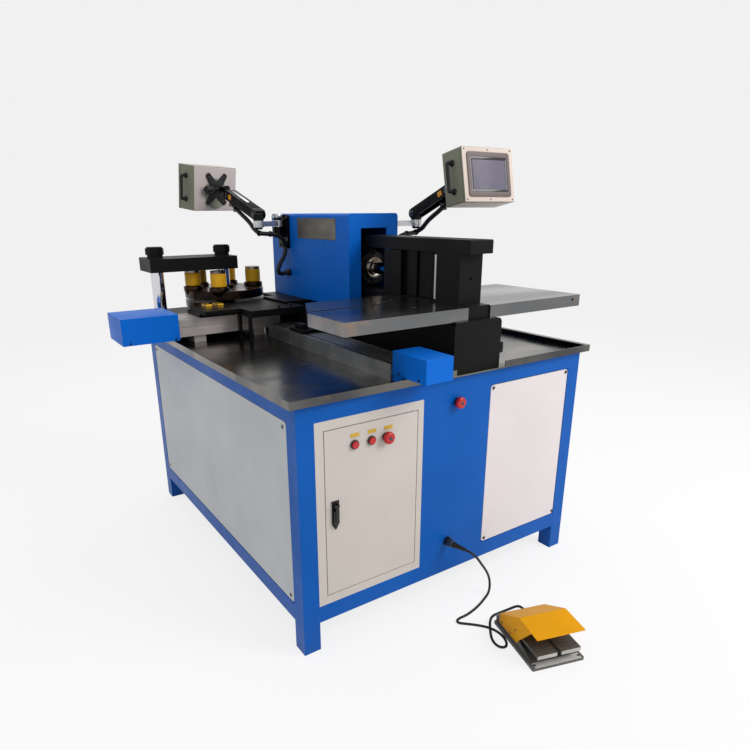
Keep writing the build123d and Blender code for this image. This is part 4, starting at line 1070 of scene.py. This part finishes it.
def layArmCable(side):        # along the spring arm, round the elbow, along the lower arm to the wall plate
    run = cableRuns[side]
    place, reach = liftFrame(side)
    line = [place @ Vector((mm(share * reach), 0, mm(z))) for share, z in armTrim["under"]]
    elbow = at(*run["elbow"])
    low = [at(*point) for point in run["low"]]
    wall = low[-1:] + [at(*point) for point in run["wall"]]
    radius = armTrim["cable"]
    piece = tubePiece(side + "CableUpper", line + [elbow], radius, "cableRubber", None)
    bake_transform(piece)
    piece = tubePiece(side + "CableMiddle", [elbow] + low, radius, "cableRubber", None)
    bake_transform(piece)
    piece = tubePiece(side + "CableLower", wall, radius, "cableRubber", None)
    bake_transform(piece)
    clipRing(side + "ElbowClip", elbow, low[0] - elbow, side + "_elbow")
    clipRing(side + "LowClip", low[1], wall[1] - low[0], side + "_low")
    clipRing(side + "WallClip", wall[-1], wall[-1] - wall[-2], "machine")


def hangDrop(side):           # free end of the arm cable, from the wall clip down to its gland
    run = cableRuns[side]
    route = run["wall"][-1:] + run["drop"]
    drop = freeCable(side + "Drop", route, armTrim["cable"])
    place = facing(at(*run["gland"]), (arms[side]["sign"], 0, 0))
    gland = spunPiece(side + "Gland", [place], armTrim["gland"], "blackPlastic", "machine", 36)


for side in arms:
    dressArm(side)
    dressLowerArm(side)
    layArmCable(side)
    hangDrop(side)
print("arms dressed")

# Plug with a knurled ring and a ribbed strain relief
plug = {
    "ringFrom": (598, -7.5, 230),
    "ring": [(0, 0), (13.6, 0), (14, 0.8, "flutes"), (14, 13, "flutes"), (13.4, 13.8), (12.4, 14), (12.4, 17),
             (13.2, 17.6), (13.2, 24.5), (12, 26), (0, 26)],
    "tailFrom": (598, -30, 230),
    "ribs": 7,
    "ribRadii": (10.8, 6.4),      # at the plug, and past the last rib
    "ribDepth": 1.3,
    "neck": 8,                    # from the plug to the first rib
}


def makePlug(p):
    place = facing(at(*p["ringFrom"]), toFront)
    ring = spunPiece("plugRing", [place], p["ring"], "screwSteel", "machine", 48)
    start = at(*p["tailFrom"])
    along = at(*cableSetup["exit"]) - start
    length = along.length * 1000
    step = (length - p["neck"] - 2) / p["ribs"]
    wide, narrow = p["ribRadii"]
    profile = [(0, 0), (11, 0)]
    for i in range(p["ribs"]):
        low = p["neck"] + step * i
        radius = wide + (narrow - wide) * i / p["ribs"]
        waist = radius - p["ribDepth"]
        profile += [(radius, low), (radius, low + 3.0), (waist, low + 3.6), (waist, low + step - 0.4)]
    profile += [(5.4, length - 0.5), (4.7, length), (0, length)]
    relief = spunPiece("plugTail", [facing(start, along)], profile, "cableRubber", "machine")
    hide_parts("cable_plug")
    return [ring, relief]


makePlug(plug)

# Foot pedal: toe plate, screws, rivets and the treadles' bright front edges
pedalTrim = {
    "plate": (168, 24),
    "plateAt": (0, -112.5, 10),
    "screwX": 80, "screwY": 112, "screwZ": 10,
    "screw": [(4.4, 0), (4.4, 1.6), (3.6, 2.2), (2.4, 2.3), (2.1, 2.3, "hex"), (2.0, 1.0, "hex"), (0, 1.0)],
    "cheekX": 87,
    "rivets": ((84, 30), (30, 30), (0, 62)),
    "rivet": [(4, 0), (4, 0.8), (2.4, 1.8), (0, 2.0)],
    "edge": (70, 1.6, 13),
    "edges": {"left": (-43, -120.6, 43.5), "right": (43, -120.6, 43.5)},
}


def dressPedal(p):
    base = Matrix.Translation(at(pedalPlace["x"], pedalPlace["y"], 0)) @ turnBy(pedalPlace["turn"], "Z")
    corners = [(x, y) for x in (-p["screwX"], p["screwX"]) for y in (-p["screwY"], p["screwY"])]
    screws = [base @ shiftBy(x, y, p["screwZ"]) for x, y in corners]
    spunPiece("pedalBaseScrews", screws, p["screw"], "screwSteel", segments=20)
    rivets = []
    for cheek in (-1, 1):
        for y, z in p["rivets"]:
            rivets.append(base @ shiftBy(cheek * p["cheekX"], y, z) @ turnBy(90 * cheek, "Y"))
    spunPiece("guardRivets", rivets, p["rivet"], "screwSteel", segments=18)
    for name, place in p["edges"].items():
        edge = (base @ shiftBy(*place), p["edge"], 0.6)
        blockPiece(name + "TreadleEdge", [edge], "paleSteel", name + "_pedal")
    outline = roundedOutline(*p["plate"], 2)
    cutPlate("pedalToePlate", [outline], 0.8, 0.3, base @ shiftBy(*p["plateAt"]), "paleSteel", "machine")


dressPedal(pedalTrim)
print("pedal dressed")

# Floor, background and light
studio = {
    "floor": tone(252, 252, 252), "floorSize": 14, "floorZ": -0.0005,
    "nearGlow": 0.80,             # how much of the floor's brightness is its own near the machine
    "fadeFrom": 1.8, "fadeTo": 7.5,
    "back": (0.88, 0.88, 0.88, 1),
    "sky": (0.96, 0.98, 1.0, 1), "skyPower": 0.46,
    "aim": (0, 0, 0.8),
    "lamps": {
        "keyLight": {"place": (2.6, -3.6, 3.6), "size": 2.6, "power": 150},
        "fillLight": {"place": (-4.0, -1.2, 2.6), "size": 3.0, "power": 12},
        "topLight": {"place": (0.2, 1.6, 4.2), "size": 3.0, "power": 36},
    },
}


class Backdrop(Wiring):       # tree of the floor or the sky: one look for light, another for the eye
    def __init__(self, owner):
        owner.use_nodes = True
        self.tree = owner.node_tree
        self.tree.nodes.clear()

    def lit(self, kind, colour, strength=1.0):
        node = self.add(kind)
        self.feed(node, Color=colour, Strength=strength)
        return node

    def seenDirectly(self):   # 1 for camera, mirror and glass rays
        rays = self.add("ShaderNodeLightPath").outputs
        both = self.math("MAXIMUM", rays["Is Camera Ray"], rays["Is Glossy Ray"])
        return self.math("MAXIMUM", both, rays["Is Transmission Ray"])

    def finish(self, kind, mask, forLight, forEye):
        mixed = self.add("ShaderNodeMixShader")
        self.link(mask, mixed.inputs["Fac"])
        self.link(forLight.outputs[0], mixed.inputs[1])
        self.link(forEye.outputs[0], mixed.inputs[2])
        self.feed(self.add(kind), Surface=mixed.outputs[0])


def makeFloor(s):
    mesh = bmesh.new()
    bmesh.ops.create_grid(mesh, x_segments=1, y_segments=1, size=s["floorSize"])
    data = bpy.data.meshes.new("studioFloor")
    mesh.to_mesh(data)
    mesh.free()
    floor = bpy.data.objects.new("studioFloor", data)
    floor.location = (0, 0, s["floorZ"])
    scene.collection.objects.link(floor)
    material = bpy.data.materials.new("floorWhite")
    data.materials.append(material)
    look = Backdrop(material)
    away = look.add("ShaderNodeVectorMath", operation="LENGTH")
    look.link(look.add("ShaderNodeTexCoord").outputs["Object"], away.inputs[0])
    fade = look.add("ShaderNodeMapRange", interpolation_type="SMOOTHSTEP")
    look.feed(fade, Value=away.outputs["Value"], From_Min=s["fadeFrom"], From_Max=s["fadeTo"])
    faded = fade.outputs["Result"]
    plain = look.add("ShaderNodeBsdfDiffuse")
    look.feed(plain, Color=s["floor"])
    glow = look.lit("ShaderNodeEmission", look.mix(faded, (1, 1, 1, 1), s["back"]))
    amount = look.span(faded, 0.0, 1.0, s["nearGlow"], 1.0)
    mask = look.math("MULTIPLY", look.seenDirectly(), amount)
    look.finish("ShaderNodeOutputMaterial", mask, plain, glow)


def makeSky(s):
    scene.world = bpy.data.worlds.new("studioWorld")
    look = Backdrop(scene.world)
    soft = look.lit("ShaderNodeBackground", s["sky"], s["skyPower"])
    plain = look.lit("ShaderNodeBackground", s["back"])
    look.finish("ShaderNodeOutputWorld", look.seenDirectly(), soft, plain)


def makeLamp(name, setup, aim):
    lamp = bpy.data.lights.new(name, "AREA")
    lamp.shape = "SQUARE"
    lamp.size = setup["size"]
    lamp.energy = setup["power"]
    holder = bpy.data.objects.new(name, lamp)
    holder.location = setup["place"]
    holder.rotation_mode = "QUATERNION"
    holder.rotation_quaternion = (Vector(aim) - Vector(setup["place"])).to_track_quat("-Z", "Y")
    scene.collection.objects.link(holder)


makeFloor(studio)
makeSky(studio)
for name, setup in studio["lamps"].items():
    makeLamp(name, setup, studio["aim"])
scene.view_settings.view_transform = "Standard"
print("studio ready")
